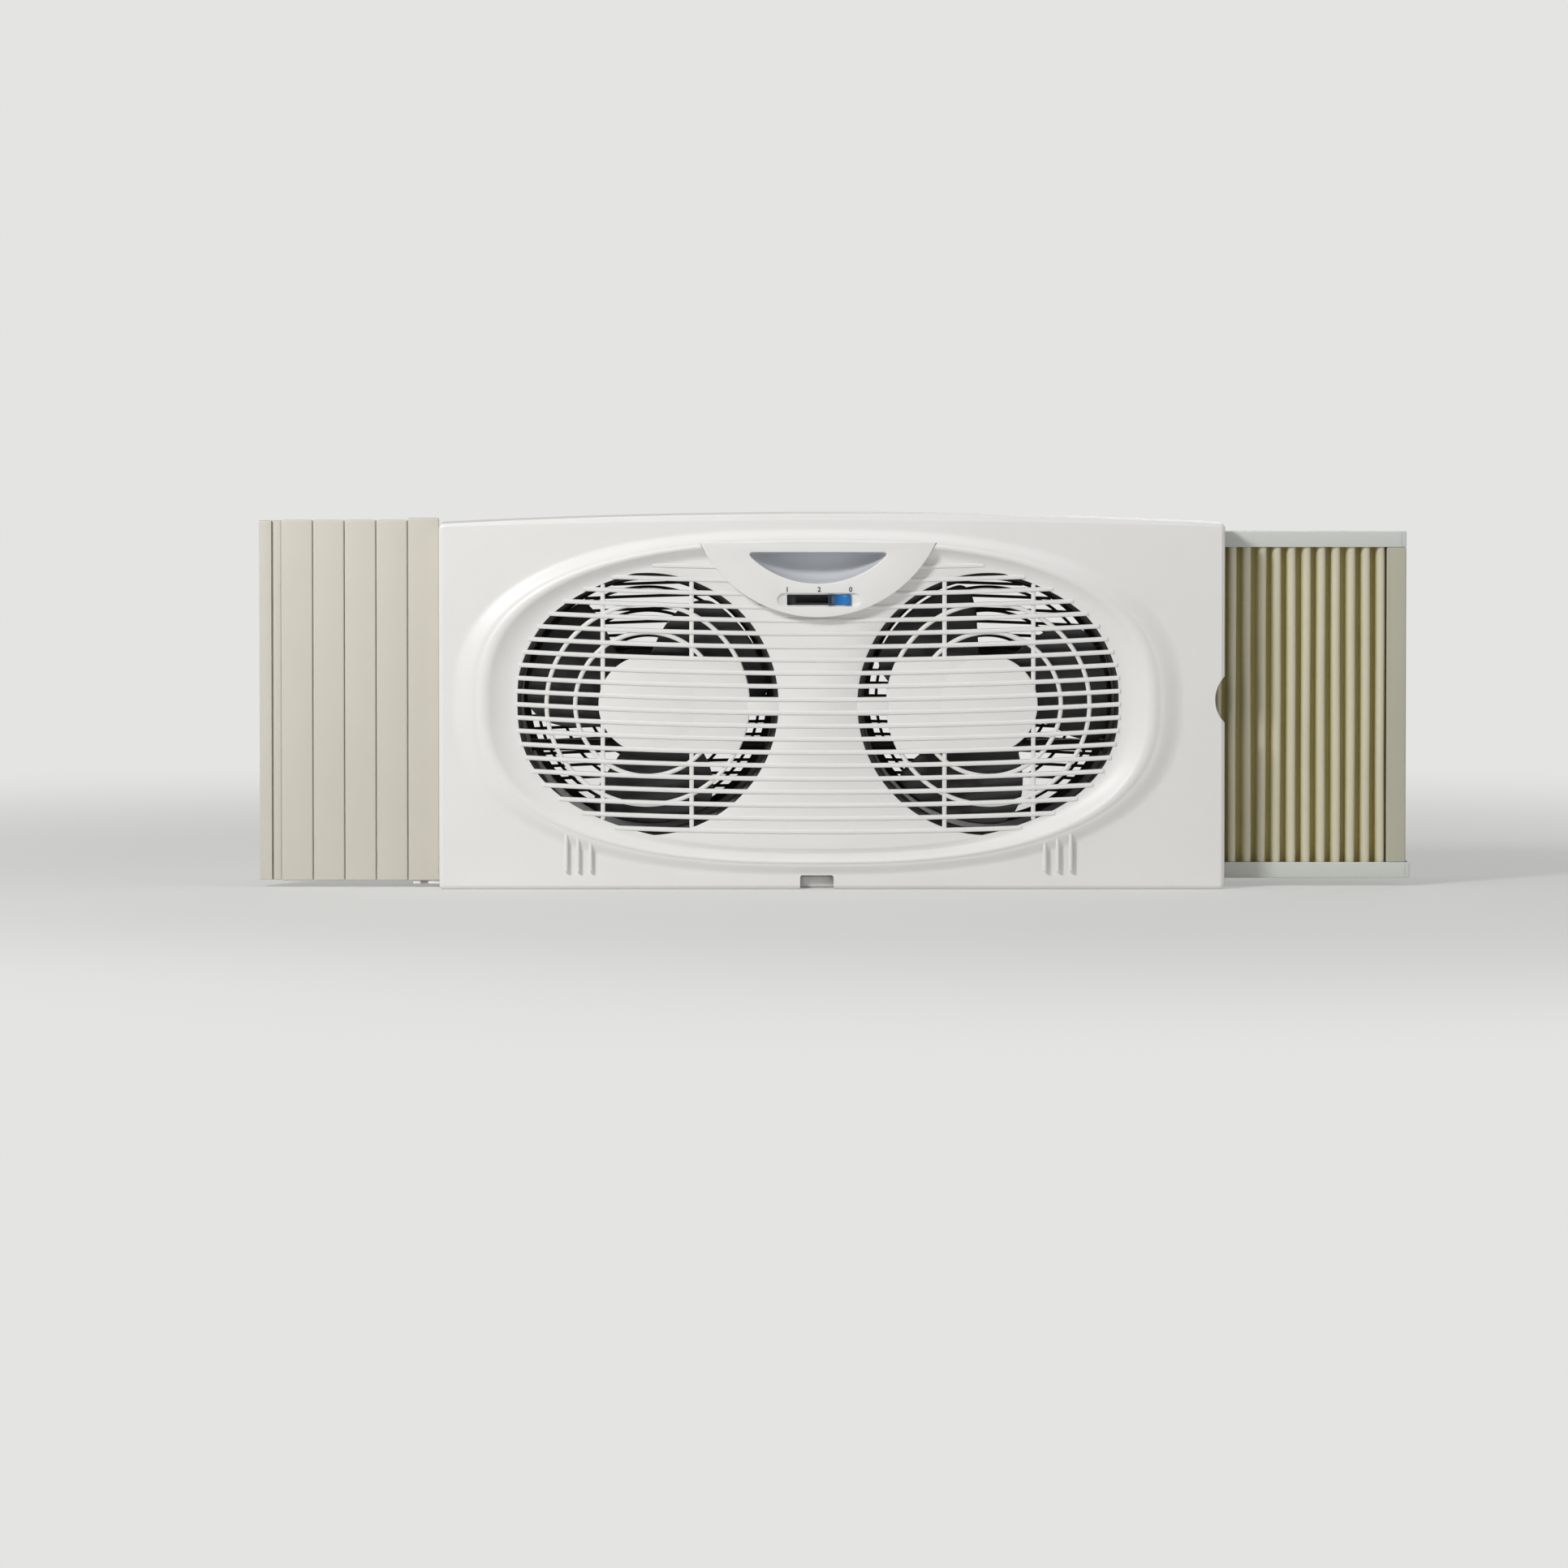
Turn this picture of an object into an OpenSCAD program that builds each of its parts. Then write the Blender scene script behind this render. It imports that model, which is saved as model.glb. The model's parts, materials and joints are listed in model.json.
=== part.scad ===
// Twin window fan. A white front shell carries an oval louvred grille with a control panel,
// a charcoal rear housing holds two motors with three-bladed impellers, a ribbed panel is
// clipped to the left side and a pleated expander slides out of the right side.
// Millimetres. The origin is on the bottom face, midway between the two fans: +X is to the
// right, +Z is up, and the room side faces -Y.

/* [Body] */
// From the middle of the grille to the body's left edge
body_left = 281.7; // [278:0.1:300]
// From the middle of the grille to the body's right edge
body_right = 302.3; // [300:0.1:330]
// Height of the front shell at its two ends
end_height = 272; // [268:0.5:290]
// How far the middle of the top edge stands above its ends
crown = 7.5; // [4:0.5:12]
// Depth of the front shell, from the seam to its flat face
front_depth = 34; // [33:0.5:42]
// Depth of the rear shell, from the seam to its back
rear_depth = 62; // [61:0.5:72]
// How far the seam lies in front of the origin
seam_front = 12; // [12:0.5:13]
// Wall of both shells
wall = 2.6; // [2:0.1:2.8]
// Radius of the body's corners
corner_r = 6; // [4:0.5:9]
// How much smaller the rear shell is than the front one at each end and at the top
rear_inset = 2; // [1.5:0.1:2.5]

/* [Oval bezel] */
// Half width of the oval opening
oval_half_w = 223.5; // [220:0.5:225]
// How far the middle of the oval lies above half the end height
oval_lift = 3.4; // [2.6:0.1:4.2]
// Bare strip between the bezel and the bottom edge
bezel_margin = 10.1; // [9:0.1:12]
// Squareness of the oval: 2 is an ellipse, more is squarer
oval_power = 2.55; // [2.4:0.05:2.7]
// Width of the bezel's inner slope at the sides
slope_w = 21; // [16:0.1:22]
// Width of the bezel's inner slope at top and bottom
slope_h = 8; // [6:0.1:8.4]
// Width of the bezel's flat crest at the sides
crest_w = 9.5; // [8:0.1:11]
// Width of the bezel's flat crest at top and bottom
crest_h = 3.4; // [2:0.1:4]
// Width of the bezel's outer slope at the sides
skirt_w = 18; // [14:0.1:19]
// Width of the bezel's outer slope at top and bottom
skirt_h = 8.7; // [7:0.1:9.2]
// How far the crest stands in front of the flat face
crest_rise = 6; // [4:0.5:8]

/* [Fans] */
// How far a fan's open round reaches past the side of the oval, under its edge
window_lap = 1.2; // [0:0.1:1.4]
// How far the fan axes lie below the middle of the oval
fan_drop = 1.8; // [1:0.1:2.6]
// Gap between the open round in front of a fan and the top of the oval
window_margin = 11.5; // [10.5:0.1:14]
// Radius of the shroud's rounded mouth
lip_r = 4.5; // [4:0.5:6]
// Gap between the blade tips and the shroud
tip_gap = 3.5; // [3:0.5:6]
// Number of blades
blade_count = 3; // [2:1:4]
// Thickness of a blade
blade_t = 2.2; // [1.6:0.1:3]
// Pitch angle of a blade
blade_pitch = 16; // [12:1:18]
// Radius to which a blade is cambered
blade_camber_r = 200; // [180:5:260]
// Radius of the impeller's hub
hub_r = 34; // [30:0.5:35]
// Radius of the motor shaft
shaft_r = 3.15; // [2.5:0.05:3.5]

/* [Front grille] */
// Height of the middle of the lowest louvre bar above the bottom of the oval
bar_margin = 12.45; // [11:0.05:14]
// Distance from one louvre bar to the next
bar_pitch = 9.83; // [9:0.01:11]
// Height of one louvre bar
bar_t = 3.3; // [2.5:0.1:4]
// Radius to which the bars sag
bar_sag_r = 3900; // [3000:100:6000]
// How far the bars stand in front of the grille's plate
bar_rise = 1.2; // [0.8:0.1:2]
// Depth of a louvre bar
bar_depth = 5.6; // [4.5:0.1:6]
// Thickness of the grille's plate
plate_t = 2; // [1.5:0.1:2.4]
// Gap from the edge of the open round to the outer ring
outer_ring_gap = 22.9; // [20:0.1:26]
// Gap from the outer ring to the inner ring
inner_ring_gap = 21.3; // [19:0.1:24]
// Distance of the upright bars from the fan axis
post_offset = 33; // [28:0.5:38]
// Radius of the closed plate over each motor
hub_plate_r = 36.2; // [35:0.2:40]

/* [Control panel] */
// Radius of the bowl-shaped control panel
bowl_r = 97; // [92:0.5:99]
// Height of the control panel from its straight top edge to its lowest point
bowl_h = 55; // [53:0.2:58]
// How far the control panel reaches above the oval opening
bowl_lap = 9; // [8.5:0.1:9.5]
// Half width of the finger recess
recess_half_w = 50.4; // [40:0.2:52]
// Gap between the panel's top edge and the finger recess
recess_drop = 6.6; // [6:0.1:8]
// Height of the finger recess
recess_sag = 23.4; // [21:0.1:24]
// Depth of the finger recess behind the panel
recess_depth = 26; // [20:0.5:26]
// Wall of the finger recess
cup_wall = 2; // [1.2:0.1:2.2]
// Gap between the panel's top edge and the middle of the speed switch
switch_drop = 42.1; // [41.6:0.1:42.6]
// Length of the knob's travel
knob_travel = 30; // [24:0.5:31]
// Width of the knob
knob_w = 17; // [14:0.5:18]
// Height of the knob
knob_h = 7.4; // [6:0.1:8]

/* [Right expander] */
// How far the expander stands out of the body when it is fully out
expander_reach = 136.3; // [128:0.1:140]
// Travel of the expander
expander_travel = 120; // [100:1:121]
// Height of the expander's rails
rail_h = 11.8; // [10:0.1:12]
// Depth of the expander's rails, front to back
rail_d = 18; // [16:0.5:18.4]
// Wall of the rails
rail_wall = 1.5; // [1.2:0.1:1.8]
// Width of the end stile
stile_w = 14.5; // [12:0.5:16]
// Distance from one pleat to the next
pleat_pitch = 11.16; // [11:0.02:11.4]
// Width of a pleat's flat ridge
ridge_w = 5.5; // [4.5:0.1:6]
// Thickness of the pleated sheet
pleat_t = 0.8; // [0.6:0.1:1]
// Number of pleats
pleat_count = 14; // [13:1:14]

/* [Left panel] */
// Width of the left panel's five fields together
panel_w = 118; // [100:0.5:130]
// Number of fields
field_count = 5; // [4:1:6]
// Thickness of the left panel, front to back
panel_d = 12; // [10:0.5:12]
// Width of the strip along the panel's outer edge
edge_strip_w = 16.3; // [12:0.1:20]
// Gap between the bottom edge of the body and the left panel
panel_lift = 4.8; // [4.8:0.1:8]
// How far the left panel reaches above the end height
panel_rise = 1.9; // [0:0.1:2]

/* [Hidden] */

// Clearances and overshoots
slip = 0.3;        // between pieces that slide or drop in
fit = 0.03;        // round a pressed or turning round piece
over = 1;          // how far a cut runs past a face
grown = 0.5;       // how far pieces of one moulding run into each other

// Stations along Y
face_y = -seam_front - front_depth;
back_y = -seam_front + rear_depth;
crest_y = face_y - crest_rise;
lining_y = face_y + wall;          // back of the front wall, where the grille seats
rear_wall_y = back_y - wall;

// Outline of the body
body_mid_x = (body_right - body_left) / 2;
body_w = body_left + body_right;
crown_r = (body_w * body_w / 4 + crown * crown) / (2 * crown);
rear_height = end_height - rear_inset;
edge_chamfer = 2.2;

// Oval
oval_mid_z = end_height / 2 + oval_lift;
oval_half_h = oval_mid_z - bezel_margin - skirt_h - crest_h - slope_h;
oval_top_z = oval_mid_z + oval_half_h;
crest_half_w = oval_half_w + slope_w + crest_w;
crest_half_h = oval_half_h + slope_h + crest_h;

// Fans
fan_height = oval_mid_z - fan_drop;
window_r = oval_half_h - window_margin;   // open round in the grille's plate
fan_x = oval_half_w + window_lap - window_r;
fan_xs = [-fan_x, fan_x];
shroud_r = window_r + slip - lip_r;
blade_tip_r = shroud_r - tip_gap;
shroud_wall = 2.6;
outer_ring_r = window_r - outer_ring_gap;
inner_ring_r = outer_ring_r - inner_ring_gap;
first_bar_z = oval_mid_z - oval_half_h + bar_margin;
bar_count = floor((2 * oval_half_h - bar_margin - 8) / bar_pitch) + 1;
shroud_front_y = lining_y + bar_depth - bar_rise + 1;
flange_w = 12;
blade_mid_y = -23;
blade_mid_angle = 9;
hub_front_y = -31;
hub_rear_y = -4;
hub_wall = 2.4;
plate_y = 2;                        // front of the shroud's motor plate
motor_y = plate_y + 3;
stator_y = motor_y + 9;
stator_l = 16;
rear_bell_y = stator_y + stator_l;
motor_end_y = rear_bell_y + 9;
motor_r = 31;
motor_bolt_pcr = 27;
bolt_r = 1.5;
bush_r = 6;
rotor_r = 18;
air_gap = 0.5;
strut_zs = [37, -33];
strut_h = 8;
strut_d = 14;
coil_r = 23;
coil_wall = 3.8;

// Control panel
bowl_top_z = oval_top_z + bowl_lap;
bowl_mid_z = bowl_top_z - bowl_h + bowl_r;
recess_top_z = bowl_top_z - recess_drop;
recess_bottom_z = recess_top_z - recess_sag;
switch_z = bowl_top_z - switch_drop;
bowl_face_y = crest_y;             // flush with the bezel's crest
recess_r = (recess_half_w * recess_half_w + recess_sag * recess_sag) / (2 * recess_sag);
track_t = 2;
pocket_depth = 2.5;
slot_h = knob_h + 2 * slip;
window_w = knob_w + knob_travel + 2 * slip;
knob_rest_x = knob_travel / 2 + 0.7;
knob_mid_x = 0.7;
stem = 4;
switch_d = 15;

// Expander
rail_front_y = -11;
rail_floor = 3;
rail_back_y = rail_front_y + rail_d;
guide_web = 2.2;
guide_floor = 3.1;
guide_lip = 2;
guide_wall = 2.2;
rail_top_z = rear_height - wall - guide_web - slip;
rail_bottom_z = wall + guide_floor + slip;
expander_end = body_right + expander_reach;
stile_x = expander_end - stile_w;
flank = (pleat_pitch - ridge_w) / 2;
lead = 0.45 * flank;                // half of the flat in each valley
pleats_x = stile_x - pleat_count * pleat_pitch + lead;
pocket_x = pleats_x - slip;         // face of the pleats' anchor
rail_start_x = pocket_x - 2;
guide_start_x = pocket_x - 58;
slot_lap = 1;                       // slot in the right wall round the rails
pleat_front_y = rail_front_y + rail_wall + slip + pleat_t;
pleat_back_y = rail_back_y - rail_wall - slip;
partition_x = pocket_x - 5.6;
anchor_t = 3;                       // foot of the pleats' anchor on the partition
anchor_d = 10;
scallop_r = 24.7;
scallop_depth = 7.2;
scallop_z = fan_height + 3.6;

// Left panel
panel_front_y = -seam_front - panel_d;
panel_right_x = -body_left;
panel_left_x = panel_right_x - panel_w;
panel_bottom_z = panel_lift;
panel_h = end_height + panel_rise - panel_lift;
panel_skin = 2.4;
field_w = panel_w / field_count;
groove_w = 5;
groove_d = 3;
tab_zs = [0.22 * end_height, 0.7 * end_height];
tab_h = 20;
tab_d = 5;

boss_r = 4;
screw_r = 1.4;
boss_xzs = [[22 - body_left, 22], [22 - body_left, rear_height - 20], [0, 18.5],
    [0, rear_height - 10.5], [partition_x - 11, 0.22 * rear_height],
    [partition_x - 11, 0.79 * rear_height]];
grille_screw_angles = [36, 144, 216, 324];

module from_front(y0, y1)
    translate([0, y1, 0]) rotate([90, 0, 0]) linear_extrude(y1 - y0) children();

module at_fan(x) translate([x, 0, fan_height]) children();

// Turns what is drawn along +Z so that it runs along +Y
module along_y() rotate([-90, 0, 0]) children();

module rod(r, y0, y1, sides = 64)
    along_y() translate([0, 0, y0]) cylinder(r = r, h = y1 - y0, $fn = sides);

module pipe(r_out, r_in, y0, y1) difference() {
    rod(r_out, y0, y1);
    rod(r_in, y0 - over, y1 + over);
}

function signed_power(v, p) = sign(v) * pow(abs(v), p);
function oval_point(w, h, t) =
    [w * signed_power(cos(t), 2 / oval_power), h * signed_power(sin(t), 2 / oval_power)];

module oval(w, h, steps = 120)
    translate([0, oval_mid_z]) polygon([for (i = [0:steps - 1]) oval_point(w, h, 360 * i / steps)]);

// The opening, wider by a few millimetres all round
module oval_opening(more = 0) oval(oval_half_w + more, oval_half_h + more);

module body_outline(inset = 0) offset(r = corner_r - inset) offset(delta = -corner_r)
    intersection() {
        translate([-body_left, 0]) square([body_w, end_height + crown]);
        translate([body_mid_x, end_height + crown - crown_r]) circle(r = crown_r, $fn = 1440);
    }

module rear_outline(inset = 0) offset(r = corner_r - inset) offset(delta = -corner_r)
    translate([rear_inset - body_left, 0]) square([body_w - 2 * rear_inset, rear_height]);

module bowl(inset = 0) intersection() {
    translate([0, bowl_mid_z]) circle(r = bowl_r - inset, $fn = 180);
    translate([-bowl_r, 0]) square([2 * bowl_r, bowl_top_z - inset]);
}

// Half moon with a straight top edge and rounded corners
module half_moon(more = 0) offset(r = 4 + more) offset(delta = -4) intersection() {
    translate([0, recess_bottom_z + recess_r]) circle(r = recess_r, $fn = 120);
    translate([-recess_r, 0]) square([2 * recess_r, recess_top_z]);
}

module stadium(w, h) hull() for (side = [-1, 1])
    translate([side * (w - h) / 2, 0]) circle(d = h, $fn = 48);

module bottom_notch() translate([-13.3, -6]) offset(r = 2.5) offset(delta = -2.5)
    square([24.8, 16.3]);

// Low wall that closes the notch from behind, so that a thin gap stays above it
module notch_wall() from_front(lining_y + 8, lining_y + 10) translate([-16, wall - grown])
    square([30.2, 7.2]);

module scallop(more = 0)
    translate([body_right - scallop_depth + scallop_r, scallop_z])
        circle(r = scallop_r + more, $fn = 96);

function under_crest(x) = oval_mid_z
    - crest_half_h * pow(1 - pow(abs(x) / crest_half_w, oval_power), 1 / oval_power);

// Upright fin that runs down from the bezel's crest, with a rounded nose and foot
module rib(x) {
    r = 1.3;
    low = 14.5;
    top_z = under_crest(x) - 1;
    translate([x, face_y - crest_rise / 2, low]) {
        cylinder(r = r, h = top_z - low, $fn = 24);
        along_y() cylinder(r = r, h = crest_rise / 2 + grown, $fn = 24);
        translate([-r, 0, 0]) cube([2 * r, crest_rise / 2 + grown, top_z - low]);
        sphere(r = r, $fn = 24);
    }
}

module front_block() hull() {
    from_front(face_y + edge_chamfer, -seam_front) body_outline();
    from_front(face_y, -seam_front) body_outline(edge_chamfer);
}

module bezel() hull() {
    w = crest_half_w;
    h = crest_half_h;
    from_front(crest_y, face_y + grown) oval(w, h);
    from_front(crest_y + 0.3 * crest_rise, face_y + grown)
        oval(w + skirt_w / 2, h + skirt_h / 2);
    from_front(face_y, face_y + grown) oval(w + skirt_w, h + skirt_h);
}

// Inner slope in two steps, easy at the opening and steep under the crest
module funnel() {
    mid = 0.58;
    mid_y = lining_y + 0.42 * (crest_y - lining_y);
    hull() {
        from_front(crest_y - 0.02, crest_y) oval(oval_half_w + slope_w, oval_half_h + slope_h);
        from_front(mid_y, mid_y + 0.02) oval_slope(mid);
    }
    hull() {
        from_front(mid_y, mid_y + 0.02) oval_slope(mid);
        from_front(lining_y, lining_y + over) oval_opening();
    }
}

module oval_slope(share) oval(oval_half_w + share * slope_w, oval_half_h + share * slope_h);

function ear_at(angle) =
    oval_point(oval_half_w + 11, oval_half_h + 7, angle) + [0, oval_mid_z];

module front_shell() color("#eae9e7") difference() {
    union() {
        difference() {
            union() { front_block(); bezel(); }
            from_front(lining_y, -seam_front + over) difference() {
                body_outline(wall);
                scallop(wall);
            }
        }
        for (p = boss_xzs) translate([p.x, 0, p.y]) rod(boss_r, lining_y - grown, -seam_front);
        for (x = [-187.3, -178.6, -169.2, 168.6, 178, 187.8]) rib(x);
        notch_wall();
    }
    funnel();
    from_front(crest_y - over, face_y) bowl(-slip);
    from_front(face_y - over, lining_y + over) half_moon(cup_wall + slip);
    for (p = boss_xzs) translate([p.x, 0, p.y]) rod(screw_r + fit, -seam_front - 14, over);
    for (a = grille_screw_angles) translate([ear_at(a).x, 0, ear_at(a).y])
        rod(screw_r + fit, lining_y - 4.2, lining_y + over);
    from_front(crest_y - over, lining_y + 8) bottom_notch();
    from_front(crest_y - over, -seam_front + over) scallop();
    for (z = tab_zs) translate([-body_left - over, panel_front_y + 4 - slip, z - slip])
        cube([wall + 2 * over, tab_d + 2 * slip, tab_h + 2 * slip]);
}

// One louvre bar: an arc about a centre high above the body, with a chamfered nose
module louvre(z) {
    sweep = 2 * asin((oval_half_w + 8) / bar_sag_r);
    nose = 0.6;
    y0 = lining_y - bar_rise;
    translate([0, 0, z + bar_sag_r]) along_y() rotate([0, 0, 90 - sweep / 2])
        rotate_extrude(angle = sweep, $fn = 1440) translate([bar_sag_r, y0]) polygon([
            [-bar_t / 2, nose], [-bar_t / 2 + nose, 0], [bar_t / 2 - nose, 0],
            [bar_t / 2, nose], [bar_t / 2, bar_depth], [-bar_t / 2, bar_depth]]);
}

module grille_ring(r) difference() {
    circle(r = r + bar_t / 2, $fn = 120);
    circle(r = r - bar_t / 2, $fn = 120);
}

// Closed plate over a motor: round on the outer side, out to the outer ring on the inner side
module hub_plate(inward) {
    reach = [-hub_plate_r, hub_plate_r] + [1, 1] * (fan_height - first_bar_z);
    low = first_bar_z + round(reach[0] / bar_pitch) * bar_pitch - fan_height + 2;
    high = first_bar_z + round(reach[1] / bar_pitch) * bar_pitch - fan_height + 2;
    intersection() {
        union() {
            circle(r = hub_plate_r, $fn = 96);
            intersection() {
                circle(r = outer_ring_r, $fn = 120);
                translate([inward > 0 ? 0 : -window_r, -window_r])
                    square([window_r, 2 * window_r]);
            }
        }
        translate([-window_r, low]) square([2 * window_r, high - low]);
    }
    // bridge to the plate between the fans
    reach_x = window_r - outer_ring_r + 2 + 3;
    translate([inward > 0 ? outer_ring_r - 2 : 2 - outer_ring_r - reach_x, -8.5])
        square([reach_x, 12]);
}

module window_bars(x) translate([x, fan_height]) {
    intersection() {
        union() {
            grille_ring(outer_ring_r);
            grille_ring(inner_ring_r);
            for (side = [-1, 1]) translate([side * post_offset - bar_t / 2, -window_r])
                square([bar_t, 2 * window_r]);
        }
        circle(r = window_r + 1, $fn = 120);
    }
    hub_plate(-sign(x));
}

module grille_plate() difference() {
    union() {
        oval_opening(4);
        for (a = grille_screw_angles) hull() {
            translate(ear_at(a)) circle(r = 5, $fn = 32);
            translate([0, oval_mid_z]) translate(oval_point(oval_half_w, oval_half_h, a))
                circle(r = 5, $fn = 32);
        }
    }
    for (x = fan_xs) translate([x, fan_height]) circle(r = window_r, $fn = 120);
}

module front_grille() color("#eceae6") difference() {
    union() {
        from_front(lining_y, lining_y + plate_t) grille_plate();
        intersection() {
            union() {
                from_front(lining_y - bar_rise, lining_y + bar_depth) oval_opening(-slip);
                from_front(lining_y, lining_y + bar_depth) oval_opening(4);
            }
            union() {
                for (k = [0:bar_count - 1]) louvre(first_bar_z + k * bar_pitch);
                from_front(lining_y, lining_y + plate_t)
                    for (x = fan_xs) window_bars(x);
            }
        }
    }
    from_front(lining_y - 5, lining_y) bowl(-slip);
    from_front(lining_y - over, lining_y + bar_depth) half_moon(cup_wall + slip);
    from_front(lining_y - over, lining_y + bar_depth)
        translate([knob_mid_x, switch_z]) square([60, 15], center = true);
    for (a = grille_screw_angles) translate([ear_at(a).x, 0, ear_at(a).y])
        rod(screw_r + fit, lining_y - over, lining_y + plate_t + over);
}

module screw(head_y, shank_l, head_r = 3) {
    rod(screw_r, head_y - shank_l, head_y);
    rod(head_r, head_y, head_y + 1.8);
}

module grille_screws() color("#9a9a9a")
    for (a = grille_screw_angles) translate([ear_at(a).x, 0, ear_at(a).y])
        screw(lining_y + plate_t, plate_t + 3.8);

// Stadium pocket, slot for the knob and seat for the track, cut into the bowl's face
module control_panel() color("#e6e5e3") difference() {
    union() {
        from_front(bowl_face_y, face_y) bowl();
        from_front(bowl_face_y, lining_y) intersection() { bowl(); oval_opening(-slip); }
    }
    from_front(bowl_face_y - over, lining_y + over) half_moon();
    from_front(face_y, lining_y + over) half_moon(cup_wall + slip);
    translate([knob_mid_x, 0, switch_z]) {
        from_front(bowl_face_y - over, bowl_face_y + pocket_depth) stadium(61.6, 10);
        from_front(bowl_face_y, lining_y + over) square([window_w, slot_h], center = true);
        from_front(lining_y - track_t, lining_y + over)
            square([56 + 2 * slip, 12 + 2 * slip], center = true);
    }
}

module handle_cup() color("#b9bdc4") difference() {
    from_front(face_y, face_y + recess_depth) half_moon(cup_wall);
    from_front(face_y - over, face_y + recess_depth - cup_wall) half_moon();
}

module switch_track() color("#1b1b1d") translate([knob_mid_x, 0, switch_z])
    from_front(lining_y - track_t, lining_y) difference() {
        square([56, 12], center = true);
        square([knob_travel + stem + 2 * slip, stem + 2 * slip], center = true);
    }

module switch_body() color("#2a2a2c") translate([knob_mid_x, 0, switch_z]) difference() {
    from_front(lining_y, lining_y + switch_d) square([56, 13], center = true);
    from_front(lining_y - over, lining_y + 6) square([knob_travel + 14, 8], center = true);
}

module speed_knob() color("#1c6fb5") translate([knob_rest_x, 0, switch_z]) difference() {
    from_front(bowl_face_y + 0.4, lining_y - track_t - slip)
        square([knob_w, knob_h], center = true);
    // finger hollow
    translate([0, bowl_face_y - 10.4, 0]) cylinder(r = 12.2, h = knob_h + 2, center = true, $fn = 96);
}

module switch_link() color("#d8d8d8") translate([knob_rest_x, 0, switch_z]) {
    from_front(lining_y - track_t - slip, lining_y + 2) square(stem, center = true);
    from_front(lining_y + 2 - grown, lining_y + 5.4) square([12, 7], center = true);
}

module rear_shell() color("#3b3a37") difference() {
    union() {
        difference() {
            from_front(-seam_front, back_y) rear_outline();
            from_front(-seam_front - over, rear_wall_y) rear_outline(wall);
        }
        for (p = boss_xzs) translate([p.x, 0, p.y])
            rod(boss_r + 0.6, -seam_front, back_y - grown);
        translate([partition_x - 2.4, rail_back_y + slip + guide_wall + 0.6, wall - grown])
            cube([2.4, rear_wall_y - rail_back_y - guide_wall - 0.9 + grown,
                rear_height - 2 * wall + 2 * grown]);
    }
    for (p = boss_xzs) translate([p.x, 0, p.y]) {
        rod(screw_r + slip, -seam_front - over, back_y + over);
        rod(3.4, back_y - 6, back_y + over);
    }
    for (x = fan_xs) at_fan(x) {
        rod(shroud_r - 3, rear_wall_y - over, back_y + over);
        rod(shroud_r + slip, back_y - 1.6, back_y + over);
    }
    // slot in the right wall for the expander
    translate([body_right - rear_inset - wall - over, -seam_front - over, rail_bottom_z - slot_lap])
        cube([wall + 2 * over, rail_back_y + seam_front + over + slot_lap,
            rail_top_z - rail_bottom_z + 2 * slot_lap]);
    translate([-body_left + 40, 0, 30]) rod(5.3, rear_wall_y - over, back_y + over);
}

module shell_screws() color("#8d8d8d") for (p = boss_xzs) translate([p.x, 0, p.y])
    screw(back_y - 6, rear_depth - 6 + 12, 3.1);

module rear_grille(x) color("#34332f") at_fan(x) {
    bar = 2.2;
    pitch = 9.6;
    rim_r = shroud_r;
    rows = floor((rim_r - 4) / pitch);
    from_front(back_y - 1.6, back_y + 1) {
        difference() { circle(r = rim_r, $fn = 120); circle(r = rim_r - 5, $fn = 120); }
        for (r = [0.5, 0.7, 0.89] * rim_r) difference() {
            circle(r = r + bar / 2, $fn = 120);
            circle(r = r - bar / 2, $fn = 120);
        }
        circle(r = hub_plate_r - 8, $fn = 96);
        // bars that bow upwards about the middle of the body
        for (k = [-rows:rows]) intersection() {
            circle(r = rim_r - 2, $fn = 120);
            translate([-x, k * pitch + (rim_r * rim_r + x * x) / (2 * bar_sag_r) / 2 - bar_sag_r])
                difference() {
                    circle(r = bar_sag_r + bar / 2, $fn = 1440);
                    circle(r = bar_sag_r - bar / 2, $fn = 1440);
                }
        }
    }
}

module fan_shroud(x) color("#3d3c38") at_fan(x) difference() {
    union() {
        along_y() rotate_extrude($fn = 120) {
            translate([shroud_r, shroud_front_y + lip_r])
                square([shroud_wall, rear_wall_y - shroud_front_y - lip_r]);
            translate([shroud_r + lip_r, shroud_front_y + lip_r]) intersection() {
                difference() {
                    circle(r = lip_r, $fn = 64);
                    circle(r = lip_r - shroud_wall, $fn = 64);
                }
                translate([-lip_r, -lip_r]) square(lip_r);
            }
            translate([shroud_r, rear_wall_y - 2.6]) square([flange_w, 2.6]);
        }
        intersection() {
            rod(shroud_r + grown, 0, strut_d);
            union() for (z = strut_zs) translate([-shroud_r - over, 0, z]) {
                translate([0, strut_h / 2, 0]) rotate([0, 90, 0])
                    cylinder(d = strut_h, h = 2 * (shroud_r + over), $fn = 48);
                translate([0, strut_h / 2, -strut_h / 2])
                    cube([2 * (shroud_r + over), strut_d - strut_h / 2, strut_h]);
            }
        }
        rod(41, plate_y, motor_y);
    }
    rod(10 + slip, plate_y - over, motor_y + over);
    rod(motor_r + slip, motor_y, strut_d + over);
    for (a = [45:90:359]) rotate([0, a, 0]) translate([motor_bolt_pcr, 0, 0])
        rod(bolt_r + 0.2, plate_y - over, motor_y + over);
}

module bolt_holes(y0, y1) for (a = [45:90:359]) rotate([0, a, 0])
    translate([motor_bolt_pcr, 0, 0]) rod(bolt_r + 0.1, y0, y1);

module motor_front_bell(x) color("#b4b6b8") at_fan(x) difference() {
    union() {
        rod(motor_r, motor_y, stator_y);
        rod(10, -1, motor_y + grown);
    }
    rod(coil_r + slip, motor_y + 3.5, stator_y + over);
    rod(bush_r + fit, -2, motor_y + 1);
    rod(bush_r - 2, -2, stator_y);
    bolt_holes(motor_y - over, stator_y + over);
}

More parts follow.
